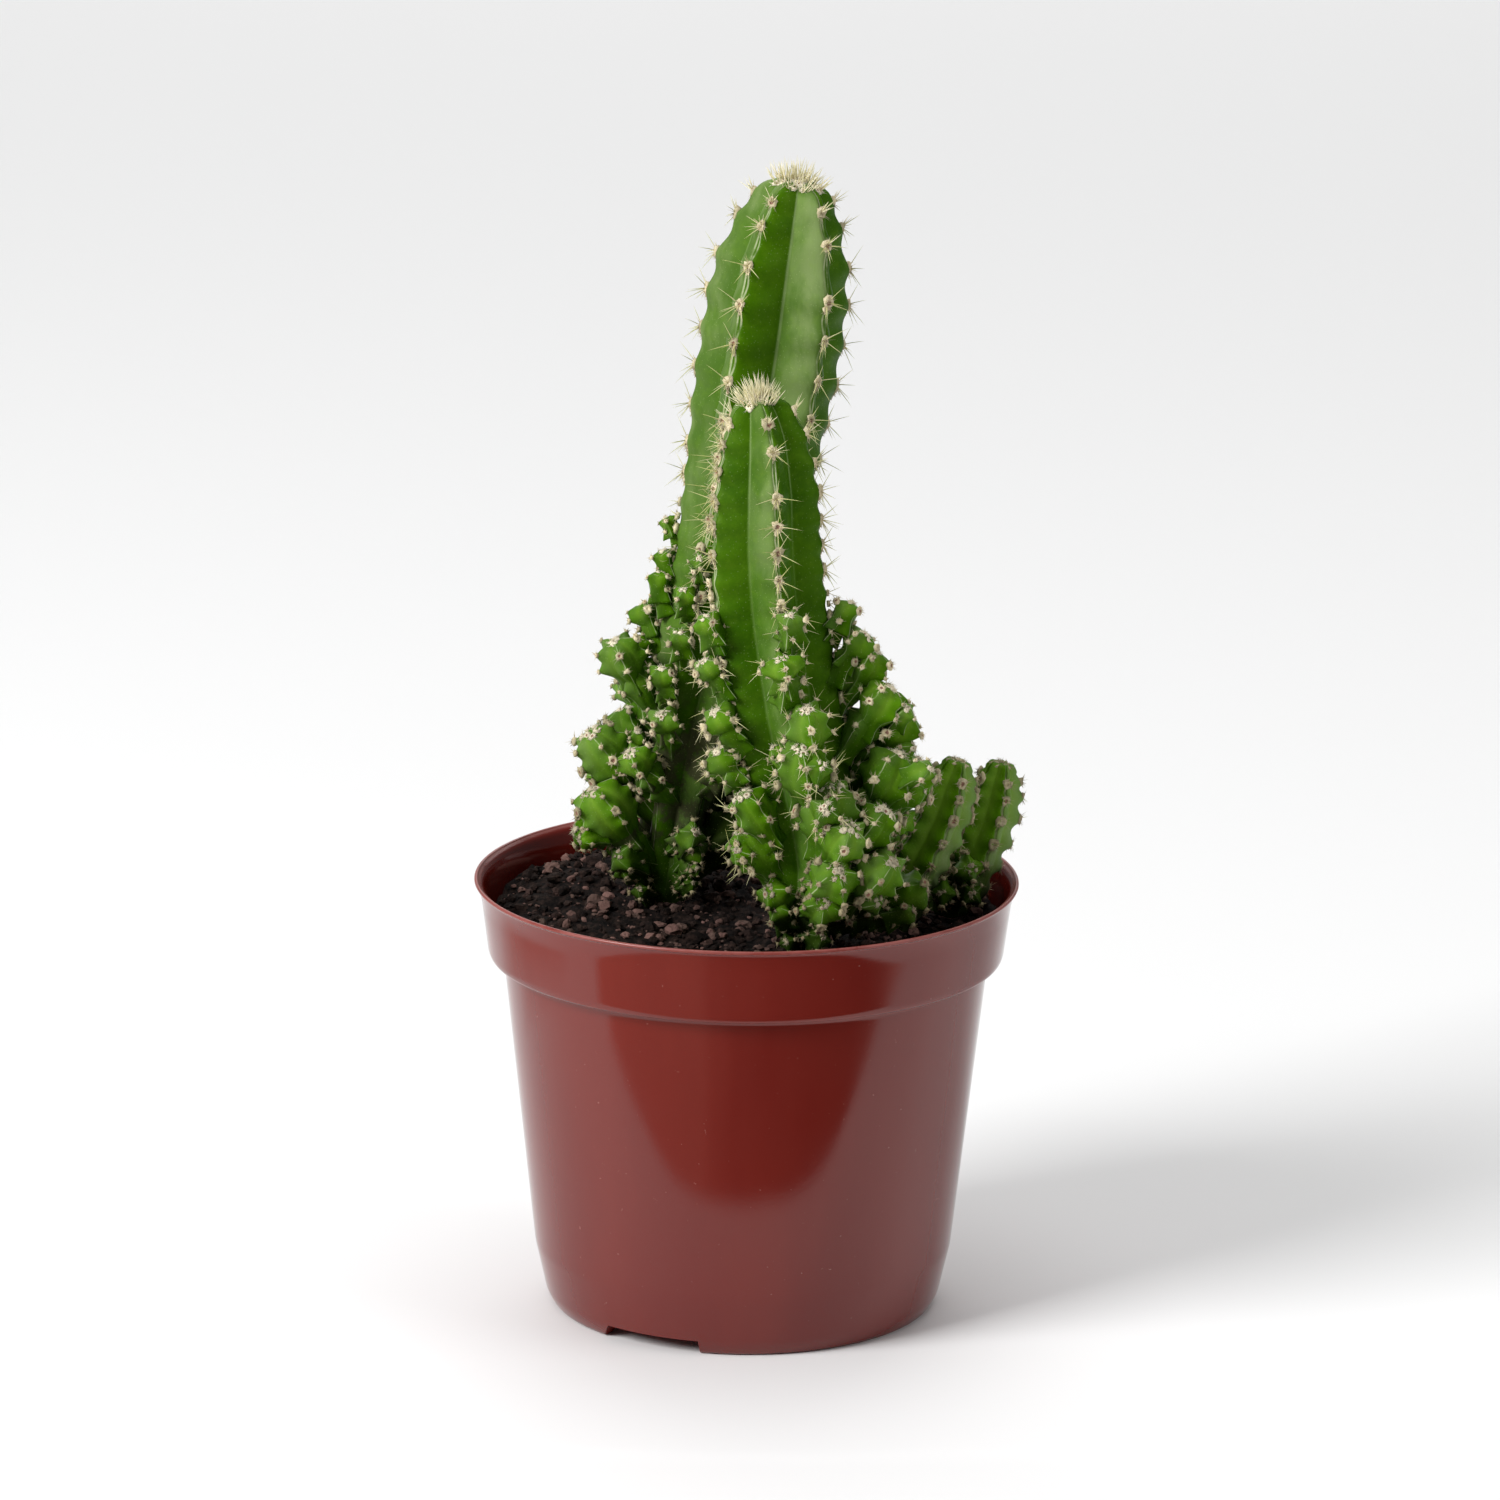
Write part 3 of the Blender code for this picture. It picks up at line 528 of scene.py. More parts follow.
def gently(pairs, at, reach):
    """The same, with the corners of the straight runs rounded off."""
    near = between(pairs, at - reach) + between(pairs, at + reach)
    return 0.25 * near + 0.5 * between(pairs, at)


class Centreline:
    """A smooth rising curve through a stem's listed points, read by its height."""

    STEPS = 16

    def __init__(self, points):
        knots = [Vector(p) for p in points]
        knots = [2 * knots[0] - knots[1], *knots, 2 * knots[-1] - knots[-2]]
        self.samples = []
        for a, b, c, d in zip(knots, knots[1:], knots[2:], knots[3:]):
            for step in range(self.STEPS):
                t = step / self.STEPS
                bend = (2 * a - 5 * b + 4 * c - d) * t * t + (3 * b - a - 3 * c + d) * t**3
                self.samples.append(b + 0.5 * ((c - a) * t + bend))
        self.samples.append(knots[-2])

    def frame(self, height):
        """(centre, right, back, up) of the section whose centre is at this height."""
        last = len(self.samples) - 2
        index = next((i for i in range(last) if self.samples[i + 1].z > height), last)
        low, high = self.samples[index], self.samples[index + 1]
        up = (high - low).normalized()
        centre = low + (high - low) * ((height - low.z) / (high.z - low.z))
        right = (Vector((1, 0, 0)) - up * up.x).normalized()
        return centre, right, up.cross(right), up


class Stem:
    """A ribbed stem: its centreline, its ridge radius by height and the bearing of its first rib.

    The two upright stems have a crown, given by its radius. The side stems have none, and no long spines.
    """

    def __init__(self, path, girth, first_rib, step, slips=(0.0,) * RIBS, crown=0.0, tooth=FINE_TOOTH):
        self.line = Centreline(path)
        self.girth = girth
        self.first_rib = first_rib
        self.step = step
        self.slips = slips
        self.crown = crown
        self.tooth = tooth
        self.foot = path[0][2]
        self.tip = path[-1][2]
        self.listed = list(enumerate(self.areole_heights()))
        self.areoles = [[self.shown(rib, *areole) for areole in self.listed] for rib in range(RIBS)]
        self.crests = [[h for place, h in enumerate(rib) if self.shows(place)] for rib in self.areoles]

    def rib_bearing(self, rib):
        return self.first_rib + rib * 360 / RIBS

    def areole_heights(self):
        """The part's heights of the areoles, from the tip down, closer together in the crown."""
        share = CROWN_AREOLE_SHARE
        heights = [self.tip - 0.5 * share * self.step]
        while heights[-1] - self.step * share > FOOT_TOP + FOOT_CLEAR:
            heights.append(heights[-1] - self.step * share)
            share = min(1.0, share + CROWN_AREOLE_GROWTH)
        return heights

    def shows(self, place):
        """Whether the areole at this place in a rib's list is there."""
        return place != LEFT_OUT or not self.crown

    def shown(self, rib, place, height):
        """Where an areole of the part's list sits here: slipped along its rib, closer together low down."""
        closer = CLOSER * max(0.0, CLOSER_BELOW - height) if self.crown else 0.0
        lower = CROWN_SETTLE[place] if self.crown and place < len(CROWN_SETTLE) else 0.0
        return height + self.slips[rib] * min(1.0, (self.tip - height) / SLIP_REACH) + closer - lower

    def ridge(self, bearing, height):
        """The point on a ridge, and the directions out of and up the stem there."""
        centre, right, back, up = self.line.frame(height)
        out = towards(bearing, right, back)
        return centre + out * between(self.girth, height), out, up

    def phase(self, rib, height):
        """(how far this height is from its areole to the next, 0 to 1, and the gap between the two)."""
        heights = self.crests[rib]
        for high, low in zip(heights, heights[1:]):
            if height >= low:
                return min(1.0, (height - low) / (high - low)), high - low
        return 0.0, self.step

    def ribbed(self, height):
        """How far the round foot has turned into the ribbed section, 0 to 1."""
        return clamped((height - FOOT_TOP) / FOOT_BLEND)

    def newness(self, height, reach):
        """1 at the tip, and 0 from this reach below it on."""
        return clamped(1.0 - (self.tip - height) / reach)

    def scallop(self, rib, height):
        """(how near an areole is, 0 to 1, how strong the scallops are, how deep the crest dips here)."""
        phase, gap = self.phase(rib, height)
        near = 0.5 + 0.5 * math.cos(math.tau * phase)
        strong = min(1.0, gap / self.step) * min(1.0, 4 * self.ribbed(height))
        tooth = self.tooth * (1 + YOUNG_TOOTH * self.newness(height, YOUNG_TOOTH_REACH))
        return near, strong, tooth * strong * (1 - near) ** 0.8


def add_object(name, data):
    made = bpy.data.objects.new(name, data)
    bpy.context.scene.collection.objects.link(made)
    return made


def mesh_object(name, bm):
    """An object from a closed bmesh, which is used up."""
    bmesh.ops.recalc_face_normals(bm, faces=bm.faces)
    mesh = bpy.data.meshes.new(name)
    bm.to_mesh(mesh)
    bm.free()
    return add_object(name, mesh)


def settle(made, replaced=None):
    """The piece rides on the part's one body, and may stand for one of its nodes."""
    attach(made, "root")
    if replaced:
        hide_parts(replaced)


class Piece:
    """Collects the points, faces and shading values of one piece.

    The four shading values of a point are what the piece's material reads from its "look" attribute.
    """

    def __init__(self):
        self.points = []
        self.looks = []
        self.faces = []

    def add(self, points, looks):
        first = len(self.points)
        self.points.extend(points)
        self.looks.extend(looks)
        return first

    def tube(self, rings, looks, tip, tip_look):
        """A closed skin over rings of equally many points, with a flat foot and a pointed top."""
        count = len(rings[0])
        firsts = [self.add(ring, look) for ring, look in zip(rings, looks)]
        for low, high in zip(firsts, firsts[1:]):
            for k in range(count):
                after = (k + 1) % count
                self.faces.append((low + k, low + after, high + after, high + k))
        self.faces.append(tuple(firsts[0] + k for k in reversed(range(count))))
        top = self.add([tip], [tip_look])
        last = firsts[-1]
        for k in range(count):
            self.faces.append((last + k, last + (k + 1) % count, top))

    def build(self, name, material, smooth=True):
        mesh = bpy.data.meshes.new(name)
        mesh.from_pydata([tuple(p) for p in self.points], [], self.faces)
        look = mesh.attributes.new("look", "FLOAT_COLOR", "POINT")
        look.data.foreach_set("color", np.array(self.looks, dtype=np.float32).ravel())
        mesh.materials.append(material)
        if smooth:
            mesh.shade_smooth()
        return add_object(name, mesh)

    def finish(self, name, material, slot, replaced=None, smooth=True):
        """Builds the piece as one of the object's own."""
        made = self.build(name, material, smooth)
        settle(made, replaced)
        return made

    def stage(self, name, material):
        """Builds a piece of the stage, without riding it on the body."""
        made = self.build(name, material)
        return made


class Nodes:
    """A material's node tree, with short calls for the nodes that are used here."""

    def __init__(self, name):
        self.material = bpy.data.materials.new(name)
        self.material.use_nodes = True
        self.tree = self.material.node_tree
        self.shader = self.tree.nodes["Principled BSDF"]
        self.colour = None

    def put(self, value, socket):
        """Links a socket or sets a plain value."""
        if isinstance(value, bpy.types.NodeSocket):
            self.tree.links.new(value, socket)
        elif value is not None:
            socket.default_value = value

    def node(self, kind, inputs=(), **settings):
        """A new node with its settings, and its (input, value) pairs put in."""
        made = self.tree.nodes.new(kind)
        for key, value in settings.items():
            setattr(made, key, value)
        for key, value in inputs:
            self.put(value, made.inputs[key])
        return made

    def place(self):
        return self.node("ShaderNodeTexCoord").outputs["Object"]

    def coordinate(self, axis):
        return self.node("ShaderNodeSeparateXYZ", ((0, self.place()),)).outputs[axis]

    def stretched(self, upwards):
        """The place, measured so that patterns are drawn out along Z."""
        inputs = (("Scale", (1, 1, upwards)), ("Vector", self.place()))
        return self.node("ShaderNodeMapping", inputs).outputs[0]

    def noise(self, scale, detail=3.0, rough=0.55, vector=None):
        values = (vector or self.place(), scale, detail, rough)
        inputs = zip(("Vector", "Scale", "Detail", "Roughness"), values)
        return self.node("ShaderNodeTexNoise", inputs).outputs["Fac"]

    def cells(self, scale):
        inputs = (("Vector", self.place()), ("Scale", scale))
        return self.node("ShaderNodeTexVoronoi", inputs).outputs["Distance"]

    def distance(self, spot):
        """How far away a fixed spot is."""
        inputs = ((0, self.place()), (1, spot))
        return self.node("ShaderNodeVectorMath", inputs, operation="DISTANCE").outputs["Value"]

    def math(self, operation, a, b=None):
        return self.node("ShaderNodeMath", ((0, a), (1, b)), operation=operation).outputs[0]

    def times(self, product, *factors):
        for factor in factors:
            product = self.math("MULTIPLY", product, factor)
        return product

    def fade(self, value, low, high, first=0.0, last=1.0):
        """A smooth step of a value from low to high."""
        inputs = zip(("Value", "From Min", "From Max", "To Min", "To Max"), (value, low, high, first, last))
        return self.node("ShaderNodeMapRange", inputs, interpolation_type="SMOOTHSTEP").outputs["Result"]

    def mix(self, share, a, b):
        inputs = (("Factor", share), ("A", a), ("B", b))
        return self.node("ShaderNodeMix", inputs, data_type="RGBA").outputs["Result"]

    def paint(self, share, *screen):
        """Lays a screen colour over the colour so far."""
        self.colour = self.mix(share, self.colour, srgb(*screen))

    def look(self):
        """The four shading values of a piece's points."""
        attribute = self.node("ShaderNodeAttribute", attribute_name="look")
        parts = self.node("ShaderNodeSeparateColor", (("Color", attribute.outputs["Color"]),))
        return (*parts.outputs, attribute.outputs["Alpha"])

    def bump(self, height, strength, distance):
        inputs = (("Height", height), ("Strength", strength), ("Distance", distance))
        self.put(self.node("ShaderNodeBump", inputs).outputs["Normal"], self.shader.inputs["Normal"])

    def shade(self, roughness, **plain):
        """The finished material. Plain numbers are set on the shader's own sockets."""
        self.put(self.colour, self.shader.inputs["Base Color"])
        self.put(roughness, self.shader.inputs["Roughness"])
        for key, value in plain.items():
            self.shader.inputs[key.replace("_", " ")].default_value = value
        return self.material


def srgb(red, green, blue):
    """A colour given as it looks on a screen, 0 to 255, in linear light."""
    parts = []
    for value in (red, green, blue):
        share = value / 255
        parts.append(share / 12.92 if share <= 0.04045 else ((share + 0.055) / 1.055) ** 2.4)
    return (*parts, 1.0)


def skin_material():
    """Waxy green skin. Look: way down the flank, half width of the crest's lens, bloom with painted sheen,
    tint.
    """
    n = Nodes("cactus_skin")
    down, lens, bloom_and_sheen, tint = n.look()
    height = n.coordinate("Z")
    fine_noise = n.noise(620, 5)
    n.colour = n.mix(n.fade(n.noise(95, 4), 0.30, 0.72), srgb(46, 86, 0), srgb(62, 102, 2))
    n.paint(n.fade(tint, 0.0, 1.0, 0.0, 0.70), 80, 128, 2)
    # Paler towards the middle of each face between the ribs: a painted highlight along it
    face = n.times(n.fade(down, 0.35, 0.95, 0.0, 0.35), tint)
    n.paint(face, 130, 164, 56)
    bare = n.fade(tint, 0.0, 0.10, 1.0, 0.0)

    # Bloom in patches, weaker low on the stems and towards the furrows, strongest where the painted sheen
    # falls
    patches = n.fade(n.noise(150, 4, 0.55, n.stretched(0.45)), 0.38, 0.62, 0.34, 1.0)
    patches = n.times(patches, n.fade(down, 0.45, 0.92, 1.0, 0.60))
    bloom_sheen_paint = n.times(patches, n.fade(height, 0.150, 0.210, 0.62, 1.0), bloom_and_sheen)
    n.paint(bloom_sheen_paint, 120, 140, 86)
    chalky_sheen = n.times(n.fade(bloom_and_sheen, 1.1, 1.9, 0.0, 0.80), patches)
    n.paint(chalky_sheen, 172, 188, 146)
    n.paint(n.fade(fine_noise, 0.45, 0.75, 0.0, 0.12), 110, 148, 30)

    # Pale lines edge the lens shapes along the crests and run down the creases
    edge = n.math("ABSOLUTE", n.math("SUBTRACT", down, lens))
    patchy = n.fade(n.noise(260, 4), 0.36, 0.58, 0.15, 1.0)
    line = n.times(n.fade(edge, 0.008, 0.052, 1.0, 0.0), patchy, 0.66)
    n.paint(line, 190, 196, 158)
    crease = n.times(n.fade(down, 0.955, 0.992, 0.0, 0.50), bare, n.fade(height, 0.160, 0.180, 0.22, 1.0))
    n.paint(crease, 128, 150, 96)

    # Cork low on the left, painted shade in the hollow between the stems, and painted shade low on the stems
    # near the soil
    low = n.times(n.fade(height, 0.090, 0.097), n.fade(height, 0.114, 0.130, 1.0, 0.0))
    corky = n.times(low, n.fade(n.noise(230, 6, 0.7), 0.40, 0.56, 0.0, 0.85))
    corky = n.times(corky, n.times(bare, n.fade(n.coordinate("X"), -0.006, 0.0, 1.0, 0.0)))
    n.paint(corky, 66, 62, 48)
    # Painted shade: the hollow between the stems is painted near black
    heart = n.fade(n.distance(SHADED_GAP_PLACE), 0.009, 0.019, 0.88, 0.0)
    n.paint(heart, 12, 20, 4)
    # Painted shade: the stems darken towards the soil
    low_painted_shade = n.fade(height, 0.081, 0.098, 0.90, 0.0)
    n.paint(low_painted_shade, 16, 28, 4)

    specks = n.fade(n.cells(1500), 0.10, 0.20, 0.25, 0.0)
    n.paint(specks, 150, 170, 110)
    rough = n.fade(n.noise(260, 4), 0.3, 0.7, 0.40, 0.56)
    n.bump(n.math("ADD", n.times(fine_noise, 0.6), n.noise(2600, 2)), 0.25, 0.0002)
    return n.shade(rough, Specular_IOR_Level=0.12, Specular_Tint=(0.80, 1.00, 0.30, 1.0))


def wool_material():
    """Cream felt, painted darker near the soil as shade. Look: dark heart, greyness, whiteness, nothing."""
    n = Nodes("areole_wool")
    heart, grey, white, _ = n.look()
    n.colour = n.mix(n.fade(n.noise(1500, 4), 0.35, 0.65), srgb(228, 216, 184), srgb(198, 184, 146))
    n.paint(n.fade(grey, 0.0, 1.0, 0.0, 0.8), 146, 140, 108)
    n.paint(white, 236, 228, 206)
    # Painted shade: wool low on the stems is darker
    n.paint(n.fade(n.coordinate("Z"), 0.082, 0.130, 0.75, 0.0), 112, 102, 72)
    n.paint(n.fade(heart, 0.35, 0.85, 0.0, 0.90), 134, 96, 82)
    n.bump(n.noise(3800, 3), 0.5, 0.0002)
    return n.shade(0.95, Specular_IOR_Level=0.15)


def spine_material():
    """Straw-coloured spines. Look: way to the tip, pallor, nothing, nothing."""
    n = Nodes("spine_straw")
    along, pallor, _, _ = n.look()
    n.colour = n.mix(n.fade(along, 0.0, 0.5), srgb(214, 200, 150), srgb(176, 180, 104))
    n.paint(n.fade(along, 0.8, 1.0, 0.0, 0.6), 170, 140, 95)
    n.paint(pallor, 246, 236, 204)
    return n.shade(0.45, Specular_IOR_Level=0.4)


def soil_material():
    """Dark peat and paler crumbs. Look: paleness, warmth, nothing, nothing."""
    n = Nodes("potting_soil")
    pale, warm, _, _ = n.look()
    dark = n.mix(n.fade(n.noise(700, 6, 0.65), 0.40, 0.7), srgb(10, 7, 6), srgb(48, 36, 31))
    lump = n.mix(warm, srgb(96, 78, 70), srgb(138, 104, 96))
    n.colour = n.mix(n.fade(pale, 0.0, 1.0, 0.0, 0.9), dark, lump)
    n.paint(n.fade(n.noise(2600, 3), 0.5, 0.75, 0.0, 0.4), 30, 20, 17)
    n.bump(n.noise(1900, 6, 0.7), 0.8, 0.0006)
    return n.shade(0.95, Specular_IOR_Level=0.12)


def pot_material():
    """Brown-red moulded plastic, satin, with faint flow marks, a few specks and a paler lip: wear and
    painted highlight.
    """
    n = Nodes("pot_plastic")
    flow = n.noise(45, 4, 0.5, n.stretched(0.25))
    n.colour = n.mix(n.fade(flow, 0.35, 0.65), srgb(99, 23, 16), srgb(105, 28, 20))
    specks = n.fade(n.noise(900, 3, 0.6), 0.70, 0.76, 0.0, 0.35)
    n.paint(specks, 160, 104, 94)
    # The lip's top is painted paler and rougher: wear, and a painted highlight along it
    from_height, full_height = (POT_HEIGHT - below for below in WORN_HIGHLIT_BELOW_LIP)
    worn_and_highlit = n.fade(n.coordinate("Z"), from_height, full_height, 0.0, 0.40)
    worn_and_highlit = n.times(worn_and_highlit, n.fade(n.noise(120, 4), 0.35, 0.6, 0.5, 1.0))
    n.paint(worn_and_highlit, 176, 104, 96)
    rough = n.math("ADD", n.fade(n.noise(60, 3), 0.3, 0.7, 0.10, 0.13), n.times(specks, 0.6))
    rough = n.math("ADD", rough, n.times(worn_and_highlit, 0.8))
    n.bump(n.noise(1400, 2), 0.04, 0.0002)
    return n.shade(rough, Specular_IOR_Level=0.60, Specular_Tint=(1.0, 0.90, 0.88, 1.0))


def sheen_facing_share(facing, side=SHEEN_SIDE):
    """Painted sheen, as pale bloom, on a flank: much on the side that faces the key light, little on the
    other.
    """
    share = clamped(facing.dot(side) / 0.32)
    return share * share * (3 - 2 * share) * (1.1 - 0.45 * max(0.0, facing.dot(side)))


def half_rib(places, side):
    """The places across one half of a rib, in order round the stem: towards its ridge, then away from it."""
    return places[:0:-1] if side < 0 else places[:-1]


def stem_skin(piece, stem):
    """The fine ribbed skin of a stem, scalloped at its areoles, with a round foot in the soil."""
    tint = 0.0 if stem.crown else 1.0
    count = int((stem.tip - FOOT_TOP) / RING_STEP)
    heights = [FOOT_TOP + (stem.tip - FOOT_TOP) * k / count for k in range(count + 1)]
    heights = [stem.foot, 0.5 * (stem.foot + FOOT_TOP), *heights]
    rings, looks = [], []
    for height in heights:
        centre, right, back, _ = stem.line.frame(height)
        ribbed = stem.ribbed(height)
        girth = gently(stem.girth, height, min(GIRTH_EASE, 0.4 * abs(stem.tip - height)))
        valley = girth * (1 - (1 - VALLEY_SHARE) * ribbed)
        ring, look = [], []
        for rib in range(RIBS):
            near, strong, dip = stem.scallop(rib, height)
            ridge = girth - dip
            lens = LENS_WIDTH * strong * (1 - near) ** 0.7
            swell = (FLANK_BULGE * ribbed + FLANK_RIPPLE * strong * (2 * near - 1)) * girth / FULL_GIRTH
            crest = towards(stem.rib_bearing(rib), right, back)
            for side in (-1, 1):
                out = towards(stem.rib_bearing(rib + 0.27 * side), right, back)
                crease = towards(stem.rib_bearing(rib + 0.5 * side), right, back)
                facing = flat(stem.rib_bearing(rib) + FLANK_FACING * side)
                # Painted sheen: upright stems' flanks facing the key light are paler; side stems' facing
                # away, more so
                bloom_and_sheen = sheen_facing_share(facing) if stem.crown else SIDE_STEM_SHEEN * sheen_facing_share(facing, -SHEEN_SIDE)
                for place in half_rib(FLANK_PLACES, side):
                    point = crest * (ridge * (1 - place)) + crease * (valley * place)
                    point -= crest * (CREST_ROUND * ribbed * math.exp(-((place / 0.10) ** 2)))
                    ring.append(centre + point + out * (swell * math.sin(math.pi * place)))
                    look.append((place, lens, bloom_and_sheen, tint))
        rings.append(ring)
        looks.append(look)
    centre, _, _, up = stem.line.frame(stem.tip)
    piece.tube(rings, looks, centre + up * TIP_RISE, (0.3, 0.0, 0.5, tint))


def fine_offset(pieces, root, axis, radius, length, spiny, most=9):
    """An offset as a stack of stubby knobs, each with its own crown, that lean a little to either side."""
    stoutness = KNOB_STOUTNESS if radius >= WIDE_OFFSET else SMALL_STOUTNESS
    count = min(most, max(1, round(length / (stoutness * radius))))
    if radius < SMALL_KNOB and count == 1:
        root = root - axis * (0.18 * length)
        length = 0.95 * length
    step = length / count
    for k in range(count):
        topmost = k == count - 1
        stout = radius * fine.uniform(0.94, 1.06) * (1.0 if topmost else LOWER_KNOB)
        aside = Vector(fine.uniform(-KNOB_LEAN, KNOB_LEAN) for _ in range(3))
        lean = (axis + aside * (0.4 if count == 1 else 1.0)).normalized()
        reach = step * (1.0 if topmost else KNOB_OVERLAP)
        knob(pieces, root + axis * (step * k), lean, stout, reach, spiny, not topmost)


def knob_rows(radius, length, old):
    """The places along a knob where its areoles sit."""
    if radius < SMALL_KNOB or old:
        return (0.60,)
    return (0.34, 0.80) if length < LONG_KNOB else (0.22, 0.52, 0.84)


def knob(pieces, root, axis, radius, length, spiny, old=False):
    """A plump ribbed knob with pointed tubercles, an areole on each and a woolly crown.

    An old one has others above it: painted darker, as age and as their shade, with fewer areoles and no
    crown.
    """
    ribs = 5 if radius >= WIDE_OFFSET else 4
    turn = fine.uniform(0, math.pi)
    sink = (OFFSET_SINK + OFFSET_SINK_SHARE * radius) / length
    rows = knob_rows(radius, length, old)
    tooth = min(MOST_TUBERCLE, 0.38 * radius)
    spread = (TUBERCLE_SPREAD + 0.12 * radius) / length
    # An old knob is painted darker, as age and as shade under the knobs above it
    tint = fine.uniform(0.25, 1.0) * (0.3 if old else 1.0)
    ashen = 0.5 * fine.random() ** 2
    shape, all_places = (SMALL_BODY, SMALL_PLACES) if radius < SMALL_KNOB else (OFFSET_BODY, OFFSET_PLACES)
    steps = max(8, int(length * (OFFSET_TOP + sink) / max(OFFSET_RING_STEP, 0.14 * radius)))
    warps = [fine.uniform(-0.06, 0.06) for _ in range(ribs)]
    shifts = [fine.uniform(-0.07, 0.07) for _ in range(ribs)]

    def spoke_at(rib):
        return around(axis, turn + math.tau * rib / ribs)

    def peak_at(along, rib):
        away = min(abs(along - row - shifts[rib]) for row in rows)
        return math.exp(-((away / spread) ** 1.6))

    def reach(along, down, rib):
        body = gently(shape, along, 0.05) * radius * (1 + warps[rib])
        straight = math.cos(math.pi / ribs) / math.cos(math.pi / ribs * (1 - down))
        groove = GROOVE * math.exp(-(((1 - down) / 0.22) ** 2))
        sharp = math.exp(-((down / 0.34) ** 2))
        swell = tooth * (peak_at(along, rib) - 0.30) * sharp
        share = PLUMPNESS + (1 - PLUMPNESS) * straight - groove
        return body * share + swell * min(1.0, 5 * (along + 0.1))

    rings, looks = [], []
    for step in range(steps + 1):
        along = -sink + (OFFSET_TOP + sink) * step / steps
        # The tint fades towards the knob's foot: painted shade where it joins
        tint_shaded_at_base = tint * clamped((along + 0.1) / 0.5)
        ring, look = [], []
        for rib in range(ribs):
            near = peak_at(along, rib)
            for side in (-1, 1):
                for place in half_rib(all_places, side):
                    spoke = spoke_at(rib + 0.5 * side * place)
                    lift = 0.3 * tooth * near * (1 - place) ** 2
                    point = axis * (along * length + lift) + spoke * reach(along, place, rib)
                    ring.append(root + point)
                    # Painted sheen on the sides facing the key light, random ashen bloom up the knob, tint
                    # shaded at the foot
                    look.append((place, 0.0, 0.3 * sheen_facing_share(spoke) + ashen * max(0.0, along), tint_shaded_at_base))
        rings.append(ring)
        looks.append(look)
    tip = root + axis * (OFFSET_TOP * length)
    pieces.skin.tube(rings, looks, tip, (0.5, 0.0, 0.0, tint))

    wool = KNOB_WOOL + 0.070 * radius
    areoles = []
    for rib in range(ribs):
        spoke = spoke_at(rib)
        for row in rows:
            along = row + shifts[rib]
            high = along * length + 0.3 * tooth
            where = root + axis * high + spoke * (reach(along, 0.0, rib) - WOOL_SINK)
            out = (spoke + axis * (0.35 + 0.9 * max(0.0, row - 0.5))).normalized()
            size = wool * fine.uniform(0.6, 1.35)
            add_wool(pieces.wool, where, out, axis, size, fine.uniform(0.8, 1.3))
            areoles.append((where, out))
            if spiny:
                add_loose_spines(pieces.spines, where, out, KNOB_SPINE_LENGTH)
    if old:
        return
    for k in range(ribs + 2 if radius >= SMALL_KNOB else 3):
        spoke = spoke_at(k * 0.77 + 0.5)
        aside = fine.uniform(0.08, 0.42)
        where = tip + spoke * (aside * radius) - axis * (0.25 * aside * aside * radius)
        size = wool * fine.uniform(0.6, 1.2)
        add_wool(pieces.wool, where, (axis + spoke * 0.5).normalized(), spoke, size, 1.0, 0.6)
    if radius >= MINI_BUD_FROM:
        where, out = fine.sample(areoles, 1)[0]
        small = radius * fine.uniform(*MINI_BUD_SCALE)
        young = (out + axis * 0.5).normalized()
        knob(pieces, where - out * (0.3 * small), young, small, 2.0 * small, spiny)


def add_wool(piece, root, out, up, size, tall, white=0.0):
    """A small felt ring round a dark pit, with loose hairs round it. A tiny one has no pit."""
    across = out.cross(up).normalized()
    up = across.cross(out).normalized()
    grey = fine.uniform(0.0, 0.8)
    heart_here = 1.0 if fine.random() < 0.6 else 0.25
    rings, looks = [], []
    sides, hairs, pit, profile = (9, 13, 0.10, WOOL_RING) if size >= BROAD_WOOL else (6, 9, 0.45, WOOL_DOT)
    for wide, high, heart in profile:
        ring = []
        for k in range(sides):
            angle = math.tau * k / sides
            jitter = fine.uniform(0.66, 1.36)
            spoke = across * math.cos(angle) + up * (math.sin(angle) * tall)
            rise = out * (size * high * fine.uniform(0.75, 1.25))
            ring.append(root + spoke * (size * wide * jitter) + rise)
        rings.append(ring)
        looks.append([(heart * heart_here, grey, white, 0.0)] * sides)
    piece.tube(rings, looks, root + out * (size * pit), (heart_here, grey, white, 0.0))
    for _ in range(hairs):
        angle = fine.uniform(0, math.tau)
        aside = across * math.cos(angle) + up * math.sin(angle)
        direction = (out * fine.uniform(0.1, 1.0) + aside).normalized()
        foot = root + aside * (size * 0.7) + out * (size * 0.3)
        add_hair(piece, foot, direction, size * fine.uniform(0.7, 1.9), grey, white)


def add_hair(piece, root, direction, length, grey, white):
    """A three-sided hair."""
    side = direction.orthogonal().normalized() * HAIR_RADIUS
    other = direction.cross(side)
    corners = [root + side, root - 0.5 * side + 0.87 * other, root - 0.5 * side - 0.87 * other]
    first = piece.add([*corners, root + direction * length], [(0.0, grey, white, 0.0)] * 4)
    for a, b, c in ((0, 1, 3), (1, 2, 3), (2, 0, 3), (0, 2, 1)):
        piece.faces.append((first + a, first + b, first + c))


def add_spine(piece, root, direction, length, radius, pallor, bend=Vector((0, 0, 0))):
    """A four-sided tapering spine that bends a little towards its tip."""
    rings, looks = [], []
    for along, share in ((-0.08, 1.0), (0.35, 0.78), (0.72, 0.45)):
        middle = root + direction * (along * length) + bend * (along * abs(along))
        rings.append([middle + around(direction, math.tau * k / 4) * (radius * share) for k in range(4)])
        looks.append([(max(0.0, along), pallor, 0.0, 0.0)] * 4)
    piece.tube(rings, looks, root + direction * length + bend, (1.0, pallor, 0.0, 0.0))


